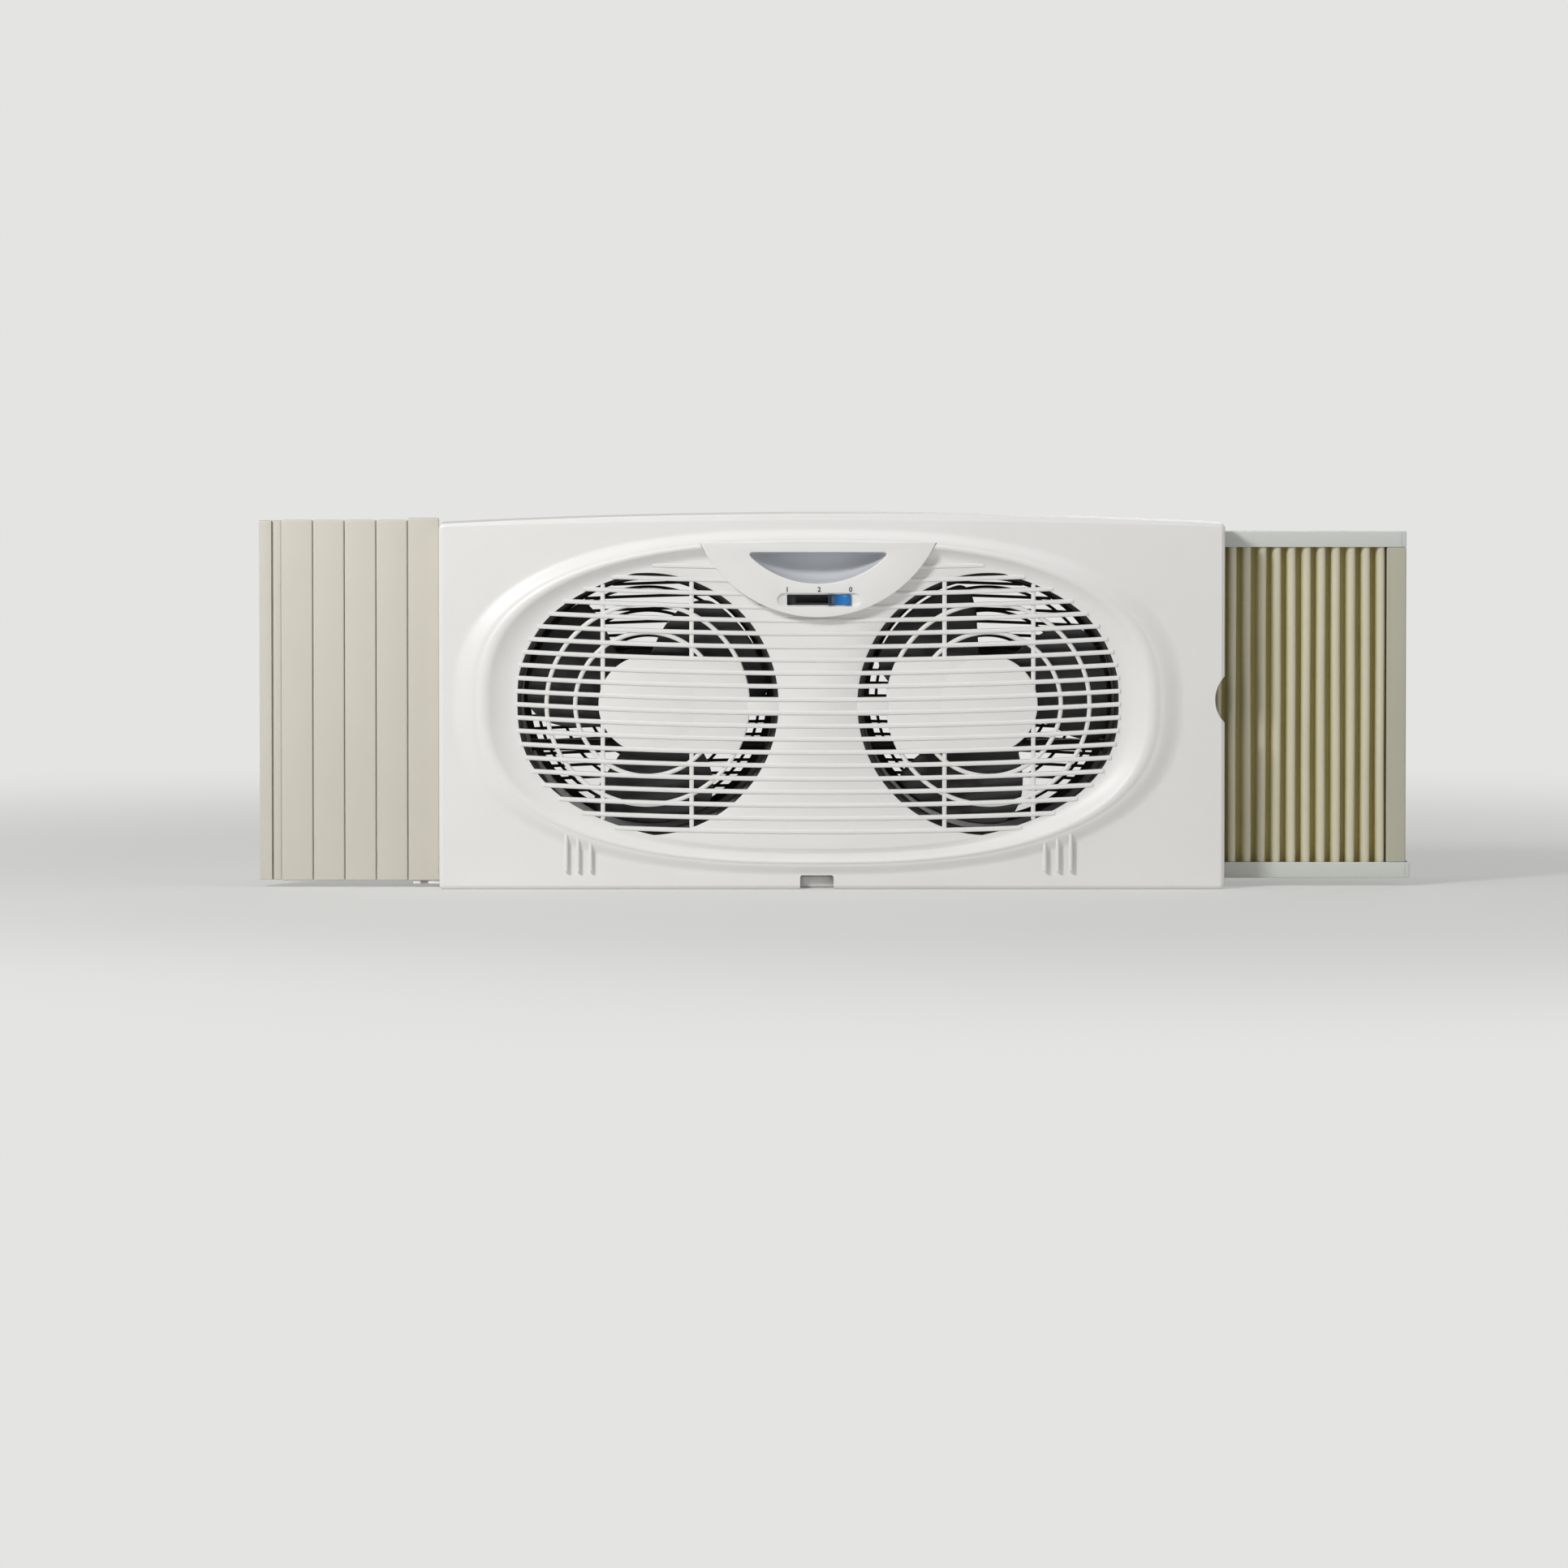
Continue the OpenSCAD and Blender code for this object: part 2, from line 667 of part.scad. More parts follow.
module motor_stator(x) color("#77797c") at_fan(x) difference() {
    from_front(stator_y, rear_bell_y) difference() {
        intersection() { circle(r = 33, $fn = 96); square(58, center = true); }
        circle(r = rotor_r + air_gap, $fn = 96);
        for (a = [0:90:359]) rotate(a) translate([0, rotor_r + 4]) square([7, 8], center = true);
    }
    bolt_holes(stator_y - over, rear_bell_y + over);
}

module motor_windings(x) color("#b36b2c") at_fan(x) {
    pipe(coil_r, coil_r - coil_wall, stator_y - 4.4, stator_y);
    pipe(coil_r, coil_r - coil_wall, rear_bell_y, rear_bell_y + 4.4);
}

module motor_rear_bell(x) color("#b4b6b8") at_fan(x) difference() {
    union() {
        rod(motor_r, rear_bell_y, motor_end_y);
        rod(10, motor_end_y - grown, motor_end_y + 4);
    }
    rod(coil_r + slip, rear_bell_y - over, motor_end_y - 3.5);
    rod(bush_r + fit, motor_end_y - 2.5, motor_end_y + 5);
    rod(bush_r - 2, rear_bell_y, motor_end_y + 5);
    bolt_holes(rear_bell_y - over, motor_end_y - 1.5);
}

module motor_bushes(x) color("#b08d4a") at_fan(x) {
    pipe(bush_r, shaft_r + 0.05, -1, motor_y + 1);
    pipe(bush_r, shaft_r + 0.05, motor_end_y - 2.5, motor_end_y + 4);
}

module motor_bolts() color("#9fa1a3") for (x = fan_xs) at_fan(x)
    for (a = [45:90:359]) rotate([0, a, 0]) translate([motor_bolt_pcr, 0, 0]) {
        rod(bolt_r, plate_y - grown, motor_end_y - 2);
        rod(2.9, plate_y - 2, plate_y);
    }

module shaft(x) color("#c9cccf") at_fan(x) {
    rod(shaft_r, hub_front_y - 4.4, motor_end_y + 3.6);
    rod(5, hub_rear_y - 2, -1 - slip);
}

module rotor(x) color("#8a8c8f") at_fan(x)
    pipe(rotor_r, shaft_r + fit, stator_y + 1, rear_bell_y - 1);

// Outline of one blade seen from the front: swept forward at its tip, with round corners
module blade_outline() offset(r = 8) offset(delta = -8) difference() {
    polygon([[0, 0], [13, 31], [28, 44], [48, 56], [60, 58], [75, 56], [83, 40], [89, 12],
        [87, -15], [82, -31], [62, -26], [47, -18], [32, -11]] * blade_tip_r / 90);
    circle(r = 8, $fn = 48);
}

module blade() intersection() {
    from_front(hub_front_y - 6, hub_rear_y + 3) difference() {
        intersection() { blade_outline(); circle(r = blade_tip_r, $fn = 120); }
        circle(r = hub_r - 1.2, $fn = 96);
    }
    rotate([0, -blade_mid_angle, 0]) translate([0, blade_mid_y, 0]) rotate([blade_pitch, 0, 0])
        translate([0, blade_camber_r, 0]) rotate([0, 90, 0]) difference() {
            cylinder(r = blade_camber_r + blade_t / 2, h = blade_tip_r + 2, $fn = 360);
            translate([0, 0, -over])
                cylinder(r = blade_camber_r - blade_t / 2, h = blade_tip_r + 4, $fn = 360);
        }
}

module impeller(x, phase) color("#3e3e3f") at_fan(x) {
    along_y() rotate_extrude($fn = 96) polygon([[shaft_r + fit, hub_front_y],
        [hub_r - 3, hub_front_y], [hub_r, hub_front_y + 3], [hub_r, hub_rear_y],
        [hub_r - hub_wall, hub_rear_y], [hub_r - hub_wall, hub_front_y + 4],
        [hub_r - 4, hub_front_y + hub_wall], [8, hub_front_y + hub_wall],
        [8, hub_rear_y - 2], [shaft_r + fit, hub_rear_y - 2]]);
    for (k = [0:blade_count - 1]) rotate([0, -phase - k * 360 / blade_count, 0]) blade();
}

module impeller_nut(x) color("#c3c6c9") at_fan(x) difference() {
    rod(6.4, hub_front_y - 4.6, hub_front_y, 6);
    rod(shaft_r + fit, hub_front_y - over * 5, hub_front_y + over);
}

// Channel that the rail slides in, open towards the pleats
module guide(web, flip) {
    x1 = body_right - rear_inset - corner_r;
    inner = rail_front_y - slip - 0.1;
    outer = rail_back_y + slip + 0.1;
    mirror([0, 0, flip ? 1 : 0]) translate([guide_start_x, 0, 0]) {
        translate([0, inner - guide_wall, -web - slip])
            cube([x1 - guide_start_x, outer - inner + 2 * guide_wall, web]);
        for (y = [inner - guide_wall, outer]) translate([0, y, -slip - grown])
            cube([x1 - guide_start_x, guide_wall, rail_h + 2 * slip + guide_lip + grown]);
        for (y = [inner - grown, outer - 1.8]) translate([0, y, rail_h + slip])
            cube([x1 - guide_start_x, 1.8 + grown, guide_lip]);
    }
}

module expander_guide_top() color("#d5d5d2")
    translate([0, 0, rail_top_z]) guide(guide_web, true);

module expander_guide_bottom() color("#d5d5d2")
    translate([0, 0, rail_bottom_z]) guide(guide_floor, false);

module pleat_anchor() color("#cfcabb") {
    low = rail_bottom_z + rail_h + 6;
    high = rail_top_z - rail_h - 6;
    translate([partition_x, rail_back_y + guide_wall + 1.2, low])
        cube([anchor_t, anchor_d, high - low]);
    translate([partition_x, pleat_front_y, low])
        cube([pocket_x - partition_x, rail_back_y + 5 - pleat_front_y, high - low]);
}

// U channel lying on its web, open upwards
module rail(end_x) {
    difference() {
        translate([rail_start_x, rail_front_y, 0]) cube([end_x - rail_start_x, rail_d, rail_h]);
        translate([rail_start_x - over, rail_front_y + rail_wall, rail_floor])
            cube([end_x - rail_start_x - rail_wall + over, rail_d - 2 * rail_wall, rail_h]);
    }
}

module expander_rail_top() color("#c8cbc6")
    translate([0, 0, rail_top_z]) mirror([0, 0, 1]) rail(expander_end);

module expander_rail_bottom() color("#c8cbc6")
    translate([0, 0, rail_bottom_z]) rail(expander_end + 3);

module expander_stile() color("#b9b6a3") {
    z0 = rail_bottom_z + rail_h;
    z1 = rail_top_z - rail_h;
    difference() {
        union() {
            translate([stile_x, rail_front_y, z0]) cube([stile_w, rail_d, z1 - z0]);
            translate([stile_x + 1, rail_front_y + rail_wall + slip, z0 - 6])
                cube([stile_w - 1 - rail_wall - slip, rail_d - 2 * rail_wall - 2 * slip, z1 - z0 + 12]);
        }
        // hollow from the back
        translate([stile_x + 3, rail_front_y + 5, z0 + 12])
            cube([stile_w - 5.4, rail_d, z1 - z0 - 24]);
    }
}

// One pleat from valley to valley, as the back of the sheet
function pleat_line(x) = [[x, pleat_back_y], [x + lead, pleat_back_y], [x + flank, pleat_front_y],
    [x + flank + ridge_w, pleat_front_y], [x + pleat_pitch - lead, pleat_back_y]];

module behind_pleats() polygon(concat(
    [for (k = [0:pleat_count - 1]) each pleat_line(pleats_x + k * pleat_pitch)],
    [[stile_x, 60], [pleats_x, 60]]));

module expander_pleats() color("#cdc7b1")
    translate([0, 0, rail_bottom_z + rail_floor + slip])
        linear_extrude(rail_top_z - rail_bottom_z - 2 * (rail_floor + slip)) intersection() {
            difference() {
                offset(delta = pleat_t) behind_pleats();
                behind_pleats();
            }
            translate([pleats_x, -60]) square([stile_x - pleats_x, 60 + pleat_back_y]);
        }

// Corrugated skin of the left panel: raised fields with a groove at each seam
module panel_profile() {
    front = panel_front_y;
    seam = [for (k = [1:field_count - 1]) panel_left_x + k * field_w];
    difference() {
        translate([panel_left_x, front]) square([panel_w - slip, panel_d - 1]);
        for (x = seam) polygon([[x - groove_w / 2, front - 0.01], [x + groove_w / 2, front - 0.01],
            [x, front + groove_d]]);
        for (k = [0:field_count - 1]) translate([panel_left_x + k * field_w + 3.4, front + panel_skin])
            square([field_w - 6.8, panel_d]);
    }
}

module side_panel() color("#d0ccc0") {
    rim = 2.4;
    top = panel_bottom_z + panel_h;
    translate([0, 0, panel_bottom_z]) linear_extrude(panel_h) panel_profile();
    for (z = [panel_bottom_z, top - rim]) translate([panel_left_x, panel_front_y + groove_d, z])
        cube([panel_w - slip, panel_d - 1 - groove_d, rim]);
    translate([panel_right_x - field_w, panel_front_y, top - grown])
        cube([field_w - slip, panel_d - 1, 1.6 + grown]);
    for (z = tab_zs) translate([panel_right_x - 3, panel_front_y + 4, z])
        cube([9, tab_d, tab_h]);
}

module side_panel_edge() color("#c9c4b3") difference() {
    translate([panel_left_x - edge_strip_w, panel_front_y + 2, panel_bottom_z + 0.6])
        cube([edge_strip_w, panel_d - 4, panel_h - 1.2]);
    translate([panel_left_x - 7, panel_front_y + over, panel_bottom_z - over])
        cube([1.8, 4, panel_h + 2 * over]);
}

module panel_clip() color("#e4e3e1") difference() {
    translate([-body_left - 20, panel_front_y, 2.4]) cube([20, panel_d - 1, 2.1]);
    translate([-body_left - 14.4, panel_front_y - over, 2.4 - over]) cube([5.4, 8, 4]);
}

module cord_inlet() color("#2b2b2b") translate([-body_left + 40, 0, 30]) difference() {
    union() {
        rod(5, rear_wall_y - 2, back_y + 1.2);
        rod(7.5, back_y, back_y + 1.6);
        rod(7, rear_wall_y - 2, rear_wall_y);
    }
    rod(3.2, rear_wall_y - 3, back_y + 3);
}

front_shell();
front_grille();
grille_screws();
control_panel();
handle_cup();
switch_track();
switch_body();
speed_knob();
switch_link();
rear_shell();
shell_screws();
rear_grille(fan_xs[0]);  // rear_grille_left
rear_grille(fan_xs[1]);  // rear_grille_right
fan_shroud(fan_xs[0]);  // fan_shroud_left
fan_shroud(fan_xs[1]);  // fan_shroud_right
motor_front_bell(fan_xs[0]);  // motor_front_bell_left
motor_front_bell(fan_xs[1]);  // motor_front_bell_right
motor_stator(fan_xs[0]);  // motor_stator_left
motor_stator(fan_xs[1]);  // motor_stator_right
motor_windings(fan_xs[0]);  // motor_windings_left
motor_windings(fan_xs[1]);  // motor_windings_right
motor_rear_bell(fan_xs[0]);  // motor_rear_bell_left
motor_rear_bell(fan_xs[1]);  // motor_rear_bell_right
motor_bushes(fan_xs[0]);  // motor_bushes_left
motor_bushes(fan_xs[1]);  // motor_bushes_right
motor_bolts();
shaft(fan_xs[0]);  // shaft_left
shaft(fan_xs[1]);  // shaft_right
rotor(fan_xs[0]);  // rotor_left
rotor(fan_xs[1]);  // rotor_right
impeller(fan_xs[0], 22);  // impeller_left
impeller(fan_xs[1], 0);  // impeller_right
impeller_nut(fan_xs[0]);  // impeller_nut_left
impeller_nut(fan_xs[1]);  // impeller_nut_right
expander_guide_top();
expander_guide_bottom();
pleat_anchor();
expander_rail_top();
expander_rail_bottom();
expander_stile();
expander_pleats();
side_panel();
side_panel_edge();
panel_clip();
cord_inlet();
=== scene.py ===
# Twin window fan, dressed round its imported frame. Sizes in the dictionaries are millimetres.
import bpy, bmesh, json
from math import asin, atan2, cos, degrees, hypot, pi, radians, sin, sqrt
from mathutils import Matrix, Vector

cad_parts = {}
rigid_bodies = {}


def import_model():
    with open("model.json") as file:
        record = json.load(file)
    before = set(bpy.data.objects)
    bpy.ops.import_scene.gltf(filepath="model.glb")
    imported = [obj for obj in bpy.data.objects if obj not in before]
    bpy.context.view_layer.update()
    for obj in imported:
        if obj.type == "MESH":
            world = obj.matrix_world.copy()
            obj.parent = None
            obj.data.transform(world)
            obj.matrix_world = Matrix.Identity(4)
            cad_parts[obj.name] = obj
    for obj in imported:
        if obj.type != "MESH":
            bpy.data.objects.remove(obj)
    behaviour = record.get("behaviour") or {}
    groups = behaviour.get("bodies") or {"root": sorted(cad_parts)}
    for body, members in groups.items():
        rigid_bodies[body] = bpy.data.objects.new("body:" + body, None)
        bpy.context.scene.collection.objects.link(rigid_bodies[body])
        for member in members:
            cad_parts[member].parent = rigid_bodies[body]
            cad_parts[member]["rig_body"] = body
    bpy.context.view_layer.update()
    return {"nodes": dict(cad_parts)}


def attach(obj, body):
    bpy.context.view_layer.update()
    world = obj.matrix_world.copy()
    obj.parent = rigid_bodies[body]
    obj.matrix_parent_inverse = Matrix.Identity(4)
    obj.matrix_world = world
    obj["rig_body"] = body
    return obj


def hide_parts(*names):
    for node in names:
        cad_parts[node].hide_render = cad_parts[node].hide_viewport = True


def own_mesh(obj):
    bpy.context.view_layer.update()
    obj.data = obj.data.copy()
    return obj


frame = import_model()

mm = 0.001
ops = bmesh.ops


def at(x, y, z):  # a point given in millimetres
    return x * mm, y * mm, z * mm


def between(a, b, u):
    return a + (b - a) * u


def addObject(name, data):
    made = bpy.data.objects.new(name, data)
    bpy.context.scene.collection.objects.link(made)
    return made


# camera: a very long lens, 1165.6 mm wide at the front face, and from a little above, as the
# photo shows the tops of the rails and more of each shroud's lower wall than of its upper one
shot = {"lens": 278, "sensor": 36, "width": 1165.6, "aim": (-25.3, -46, 78.4), "above": 3.57,
        "clipMetres": 60}
lensData = bpy.data.cameras.new("camera")
lensData.lens, lensData.sensor_width, lensData.clip_end = shot["lens"], shot["sensor"], shot["clipMetres"]
camera = addObject("camera", lensData)
bpy.context.scene.camera = camera
distance = shot["width"] * shot["lens"] / shot["sensor"]
lift = radians(shot["above"])
camera.location = (Vector(shot["aim"]) + Vector((0, -distance * cos(lift), distance * sin(lift)))) * mm
camera.rotation_euler = (pi / 2 - lift, 0, 0)
bpy.context.scene.view_settings.view_transform = "Standard"
print("camera set")


# materials
def linear(hexColour):  # sRGB hex to the linear values that sockets take
    parts = [int(hexColour[i:i + 2], 16) / 255 for i in (0, 2, 4)]
    return (*[p / 12.92 if p <= 0.04045 else ((p + 0.055) / 1.055) ** 2.4 for p in parts], 1)


def add(tree, kind, values=None, links=None, **settings):  # one node with its settings and links
    made = tree.nodes.new("ShaderNode" + kind)
    for key, value in settings.items():
        setattr(made, key, value)
    for key, value in (values or {}).items():
        made.inputs[key].default_value = value
    for key, source in (links or {}).items():  # from a socket, or from a node's first one
        tree.links.new(getattr(source, "outputs", [source])[0], made.inputs[key])
    return made


def newMaterial(name):  # with its nodes and the object's own coordinates
    made = bpy.data.materials.new(name)
    made.use_nodes = True
    made.node_tree.nodes.clear()
    return made, made.node_tree, add(made.node_tree, "TexCoord").outputs["Object"]


def finishMaterial(tree, shader):
    add(tree, "OutputMaterial", links={"Surface": shader})


def finishSurface(tree, height, strength, deep, values, links):  # relief, shader and output
    relief = add(tree, "Bump", {"Strength": strength, "Distance": deep * mm}, {"Height": height})
    finishMaterial(tree, add(tree, "BsdfPrincipled", values, {**links, "Normal": relief}))


def perMetre(size):  # a pattern of that size in mm, as a texture scale on coordinates in metres
    return 1000 / size


def mouldedPlastic(name, colour, shade, roughness, grain, grainDepth, ior=1.5, mottle=60):
    # moulded from a spark-eroded tool: fine grain breaks up the gloss, and slow drifts of
    # tone keep large faces from looking printed
    made, tree, place = newMaterial(name)
    drift = add(tree, "TexNoise", {"Scale": perMetre(mottle), "Detail": 3}, {"Vector": place})
    tone = add(tree, "MixRGB", {"Color1": linear(colour), "Color2": linear(shade)}, {"Fac": drift})
    fine = add(tree, "TexNoise", {"Scale": perMetre(grain), "Detail": 4}, {"Vector": place})
    matt = add(tree, "MapRange", {"To Min": roughness - 0.04, "To Max": roughness + 0.05}, {"Value": fine})
    finishSurface(tree, fine, 0.6, grainDepth, {"IOR": ior}, {"Base Color": tone, "Roughness": matt})
    return made


def platedMetal(name, colour, shade, roughness, size, stretch=(1, 1, 1)):
    # bare or plated metal, its marks stretched the way the surface was worked
    made, tree, place = newMaterial(name)
    laid = add(tree, "Mapping", {"Scale": stretch}, {"Vector": place})
    marks = add(tree, "TexNoise", {"Scale": perMetre(size), "Detail": 5}, {"Vector": laid})
    tone = add(tree, "MixRGB", {"Color1": linear(colour), "Color2": linear(shade)}, {"Fac": marks})
    matt = add(tree, "MapRange", {"To Min": roughness - 0.08, "To Max": roughness + 0.1}, {"Value": marks})
    finishSurface(tree, marks, 0.4, 0.02, {"Metallic": 1}, {"Base Color": tone, "Roughness": matt})
    return made


# ABS, injection moulded, satin: warm white with a soft broad sheen
whiteAbs = mouldedPlastic("whiteAbsMoulded", "ebeae8", "e6e5e2", 0.42, 0.9, 0.012)
# ABS in the finger recess: the same white, with painted shade making it darker and a little cooler
recessPaintedShadeAbs = mouldedPlastic("recessAbsPaintedShade", "d9dbdf", "d3d6db", 0.38, 0.9, 0.012)
# polypropylene, moulded, charcoal: dull with a slight brown cast
charcoalPp = mouldedPlastic("charcoalPolypropyleneMoulded", "3f3e3a", "393833", 0.5, 0.7, 0.02)
# polypropylene of the impellers: smoother, so soft grey lights slide over the blades
bladePp = mouldedPlastic("bladePolypropyleneMoulded", "3d3d3e", "373738", 0.34, 0.8, 0.008)
# rear grilles: charcoal that has browned a little outdoors
weatheredPp = mouldedPlastic("weatheredPolypropyleneMoulded", "3d3a31", "34322b", 0.55, 0.6, 0.02)
# ABS of the switch: near black, matt in its slot
blackAbs = mouldedPlastic("blackAbsMoulded", "2b2b2e", "252528", 0.45, 0.5, 0.01)
# pad-printed ink: dark grey and dead matt
digitInk = mouldedPlastic("inkPadPrinted", "3a3a3c", "454547", 0.6, 0.25, 0.004)
# nylon guides: milky and slightly waxy
nylonNatural = mouldedPlastic("nylonMoulded", "d8d7d2", "d0cfc9", 0.4, 0.8, 0.01, 1.53)
# rigid PVC, extruded, pale grey with a green cast: even and dull
railPvc = mouldedPlastic("railPvcExtruded", "d3d5d0", "ced1cb", 0.45, 1.4, 0.006, 1.53)
# ABS of the stile: greyed cream
stileAbs = mouldedPlastic("stileAbsMoulded", "bfbcaa", "b9b6a3", 0.45, 0.9, 0.01)
# rigid PVC of the side panel: warm cream and dull
creamPvc = mouldedPlastic("creamPvcExtruded", "d2cdc2", "ccc7bb", 0.48, 1.2, 0.008, 1.53)
# steel with bright zinc plating: cool and lightly clouded
zincSteel = platedMetal("zincPlatedSteel", "c9ccd0", "a9adb2", 0.32, 2.5)
# pressed steel bells, galvanised: flat grey with a soft spangle
bellSteel = platedMetal("galvanisedSteelPressed", "b9bbbd", "9fa2a5", 0.4, 4)
# stacked laminations: fine dark lines across the stack's depth
coreSteel = platedMetal("laminatedSteelStacked", "7b7d80", "4f5154", 0.45, 1.2, (0.1, 6, 0.1))
# ground shaft: bright, its marks run round it
shaftSteel = platedMetal("steelGround", "cdd0d3", "b4b8bc", 0.2, 0.8, (1, 8, 1))
# sintered bronze: warm and slightly porous
bushBronze = platedMetal("bronzeSintered", "b08d55", "8d6d3a", 0.42, 0.7)
# enamelled copper wire: amber varnish over fine turns
coilCopper = platedMetal("copperWireEnamelled", "b4642a", "7e3d17", 0.3, 0.9, (1, 5, 1))


def tintedKnob():
    # clear-coated blue ABS: bright where it faces the lamp, running to navy in the slot's shade
    made, tree, place = newMaterial("knobAbsPolished")
    across = add(tree, "SeparateXYZ", links={0: place}).outputs["X"]
    share = add(tree, "MapRange", {"From Min": 8.5 * mm, "From Max": 17 * mm}, {"Value": across},
                interpolation_type="SMOOTHSTEP")
    cloud = add(tree, "TexNoise", {"Scale": perMetre(6), "Detail": 2}, {"Vector": place})
    blue = add(tree, "MixRGB", {"Color1": linear("0d6cb6"), "Color2": linear("1379c4")}, {"Fac": cloud})
    tone = add(tree, "MixRGB", {"Color1": linear("20263c")}, {"Fac": share, "Color2": blue})
    fine = add(tree, "TexNoise", {"Scale": perMetre(0.8), "Detail": 3}, {"Vector": place})
    gloss = {"Roughness": 0.28, "Coat Weight": 0.4, "Coat Roughness": 0.12}
    finishSurface(tree, fine, 0.3, 0.005, gloss, {"Base Color": tone})
    return made


def foldedVinyl():
    # calendered vinyl, folded: pale on the ridges, with painted shade that makes it darker and greener
    # down in the folds, and a fine upright draw from the rollers
    made, tree, place = newMaterial("vinylFoldsPaintedShade")
    depth = add(tree, "SeparateXYZ", links={0: place}).outputs["Y"]
    # painted shade: the colour turns from the ridge cream to a darker, greener tone with depth into the
    # folds
    share = add(tree, "MapRange", {"From Min": -8.4 * mm, "From Max": -2.5 * mm}, {"Value": depth},
                interpolation_type="SMOOTHSTEP")
    drift = add(tree, "TexNoise", {"Scale": perMetre(50), "Detail": 3}, {"Vector": place})
    ridge = add(tree, "MixRGB", {"Color1": linear("d8d2ba"), "Color2": linear("d0cab1")}, {"Fac": drift})
    foldPaintedShade = add(tree, "MixRGB", {"Color1": linear("cfc590"), "Color2": linear("c6bc86")}, {"Fac": drift})
    tone = add(tree, "MixRGB", links={"Fac": share, "Color1": ridge, "Color2": foldPaintedShade})
    drawn = add(tree, "Mapping", {"Scale": (1, 1, 0.04)}, {"Vector": place})
    lines = add(tree, "TexNoise", {"Scale": perMetre(0.9), "Detail": 3}, {"Vector": drawn})
    finishSurface(tree, lines, 0.35, 0.02, {"Roughness": 0.46, "IOR": 1.53}, {"Base Color": tone})
    return made


knobAbs = tintedKnob()
pleatVinyl = foldedVinyl()
print("materials made")


# mesh helpers
def wear(name, material):  # a CAD node takes its finish
    mesh = frame["nodes"][name].data
    mesh.materials.clear()
    mesh.materials.append(material)


def finishPiece(name, bm, material, body, stands=(), angle=40, recalc=True):
    ops.remove_doubles(bm, verts=bm.verts, dist=1e-6)
    if recalc:
        ops.recalc_face_normals(bm, faces=bm.faces)
    mesh = bpy.data.meshes.new(name)
    bm.to_mesh(mesh)
    bm.free()
    mesh.shade_smooth()
    mesh.set_sharp_from_angle(angle=radians(angle))
    mesh.materials.append(material)
    piece = addObject(name, mesh)
    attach(piece, body)
    if stands:
        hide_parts(*stands)
    for node in stands:
        wear(node, material)
    return piece


def vertsIn(made):
    return [g for g in made if isinstance(g, bmesh.types.BMVert)]


def edgesOf(verts):  # edges between these verts, in the verts' order
    inside = set(verts)
    found = dict.fromkeys(e for v in verts for e in v.link_edges)
    return [e for e in found if inside.issuperset(e.verts)]


def pullEdges(bm, edges):  # new faces out of these edges, and the edges they end in
    verts = vertsIn(ops.extrude_edge_only(bm, edges=edges)["geom"])
    return verts, edgesOf(verts)


def fillHoles(bm):
    ops.holes_fill(bm, edges=[e for e in bm.edges if e.is_boundary], sides=0)


def ease(bm, geom, offset, segments, affect="EDGES"):
    ops.bevel(bm, geom=geom, offset=offset * mm, offset_type="OFFSET", affect=affect,
                    segments=segments, profile=0.5, material=-1, clamp_overlap=True)


def joinInto(bm, other):
    mesh = bpy.data.meshes.new("part")
    other.to_mesh(mesh)
    other.free()
    bm.from_mesh(mesh)
    bpy.data.meshes.remove(mesh)


def roundedBox(bm, low, high, radius, segments=3):
    made = ops.create_cube(bm, size=1)["verts"]
    low, high = Vector(low) * mm, Vector(high) * mm
    ops.scale(bm, verts=made, vec=high - low)
    ops.translate(bm, verts=made, vec=(high + low) / 2)
    if radius:
        ease(bm, edgesOf(made), radius, segments)


def block(low, high, radius=0, segments=3):  # a box in a mesh of its own
    bm = bmesh.new()
    roundedBox(bm, low, high, radius, segments)
    return bm


def ringLoft(bm, rings, close=False):
    # a skin through rings of points, grown edge ring by edge ring
    current = ops.create_circle(bm, cap_ends=False, radius=1, segments=len(rings[0]))["verts"]
    for vert, point in zip(current, rings[0]):
        vert.co = point
    firstEdges = edges = edgesOf(current)
    for points in rings[1:]:
        order = {tuple(v.co): i for i, v in enumerate(current)}
        grown, edges = pullEdges(bm, edges)
        current = sorted(grown, key=lambda v: order[tuple(v.co)])
        for vert, point in zip(current, points):
            vert.co = point
    if close:
        ops.bridge_loops(bm, edges=firstEdges + edges)


def quarter(steps):  # cosine and sine along a quarter turn
    return [(cos(pi / 2 * k / steps), sin(pi / 2 * k / steps)) for k in range(steps + 1)]


def smooth(u):
    u = min(1, max(0, u))
    return u * u * (3 - 2 * u)


def raiseOutline(bm, back, front, rounding, steps=3):
    # outlines drawn at Y = back become a slab with rounded front edges, holes included
    edges = bm.edges[:]
    ops.triangle_fill(bm, use_beauty=True, edges=edges)
    inward = {}
    for edge in edges:  # towards the material, square to each outline edge
        run = edge.verts[1].co - edge.verts[0].co
        across = Vector((run.z, 0, -run.x)).normalized()
        middle = (edge.verts[0].co + edge.verts[1].co) / 2
        if across.dot(edge.link_faces[0].calc_center_median() - middle) < 0:
            across = -across
        for vert in edge.verts:
            inward.setdefault(tuple(vert.co), []).append(across)
    lean = {}
    for place, (one, two) in inward.items():
        both = (one + two).normalized()
        lean[place] = both / max(0.6, both.dot(one))
    turns = quarter(steps)
    moves = [(0, front - back + rounding)]
    moves += [(rounding * (p[0] - q[0]), rounding * (p[1] - q[1])) for p, q in zip(turns, turns[1:])]
    for across, forward in moves:
        verts, edges = pullEdges(bm, edges)
        shifted = {}
        for vert in verts:
            push = lean[tuple(vert.co)]
            vert.co = vert.co + push * across * mm + Vector((0, forward * mm, 0))
            shifted[tuple(vert.co)] = push
        lean = shifted
    ops.triangle_fill(bm, use_beauty=True, edges=edges)


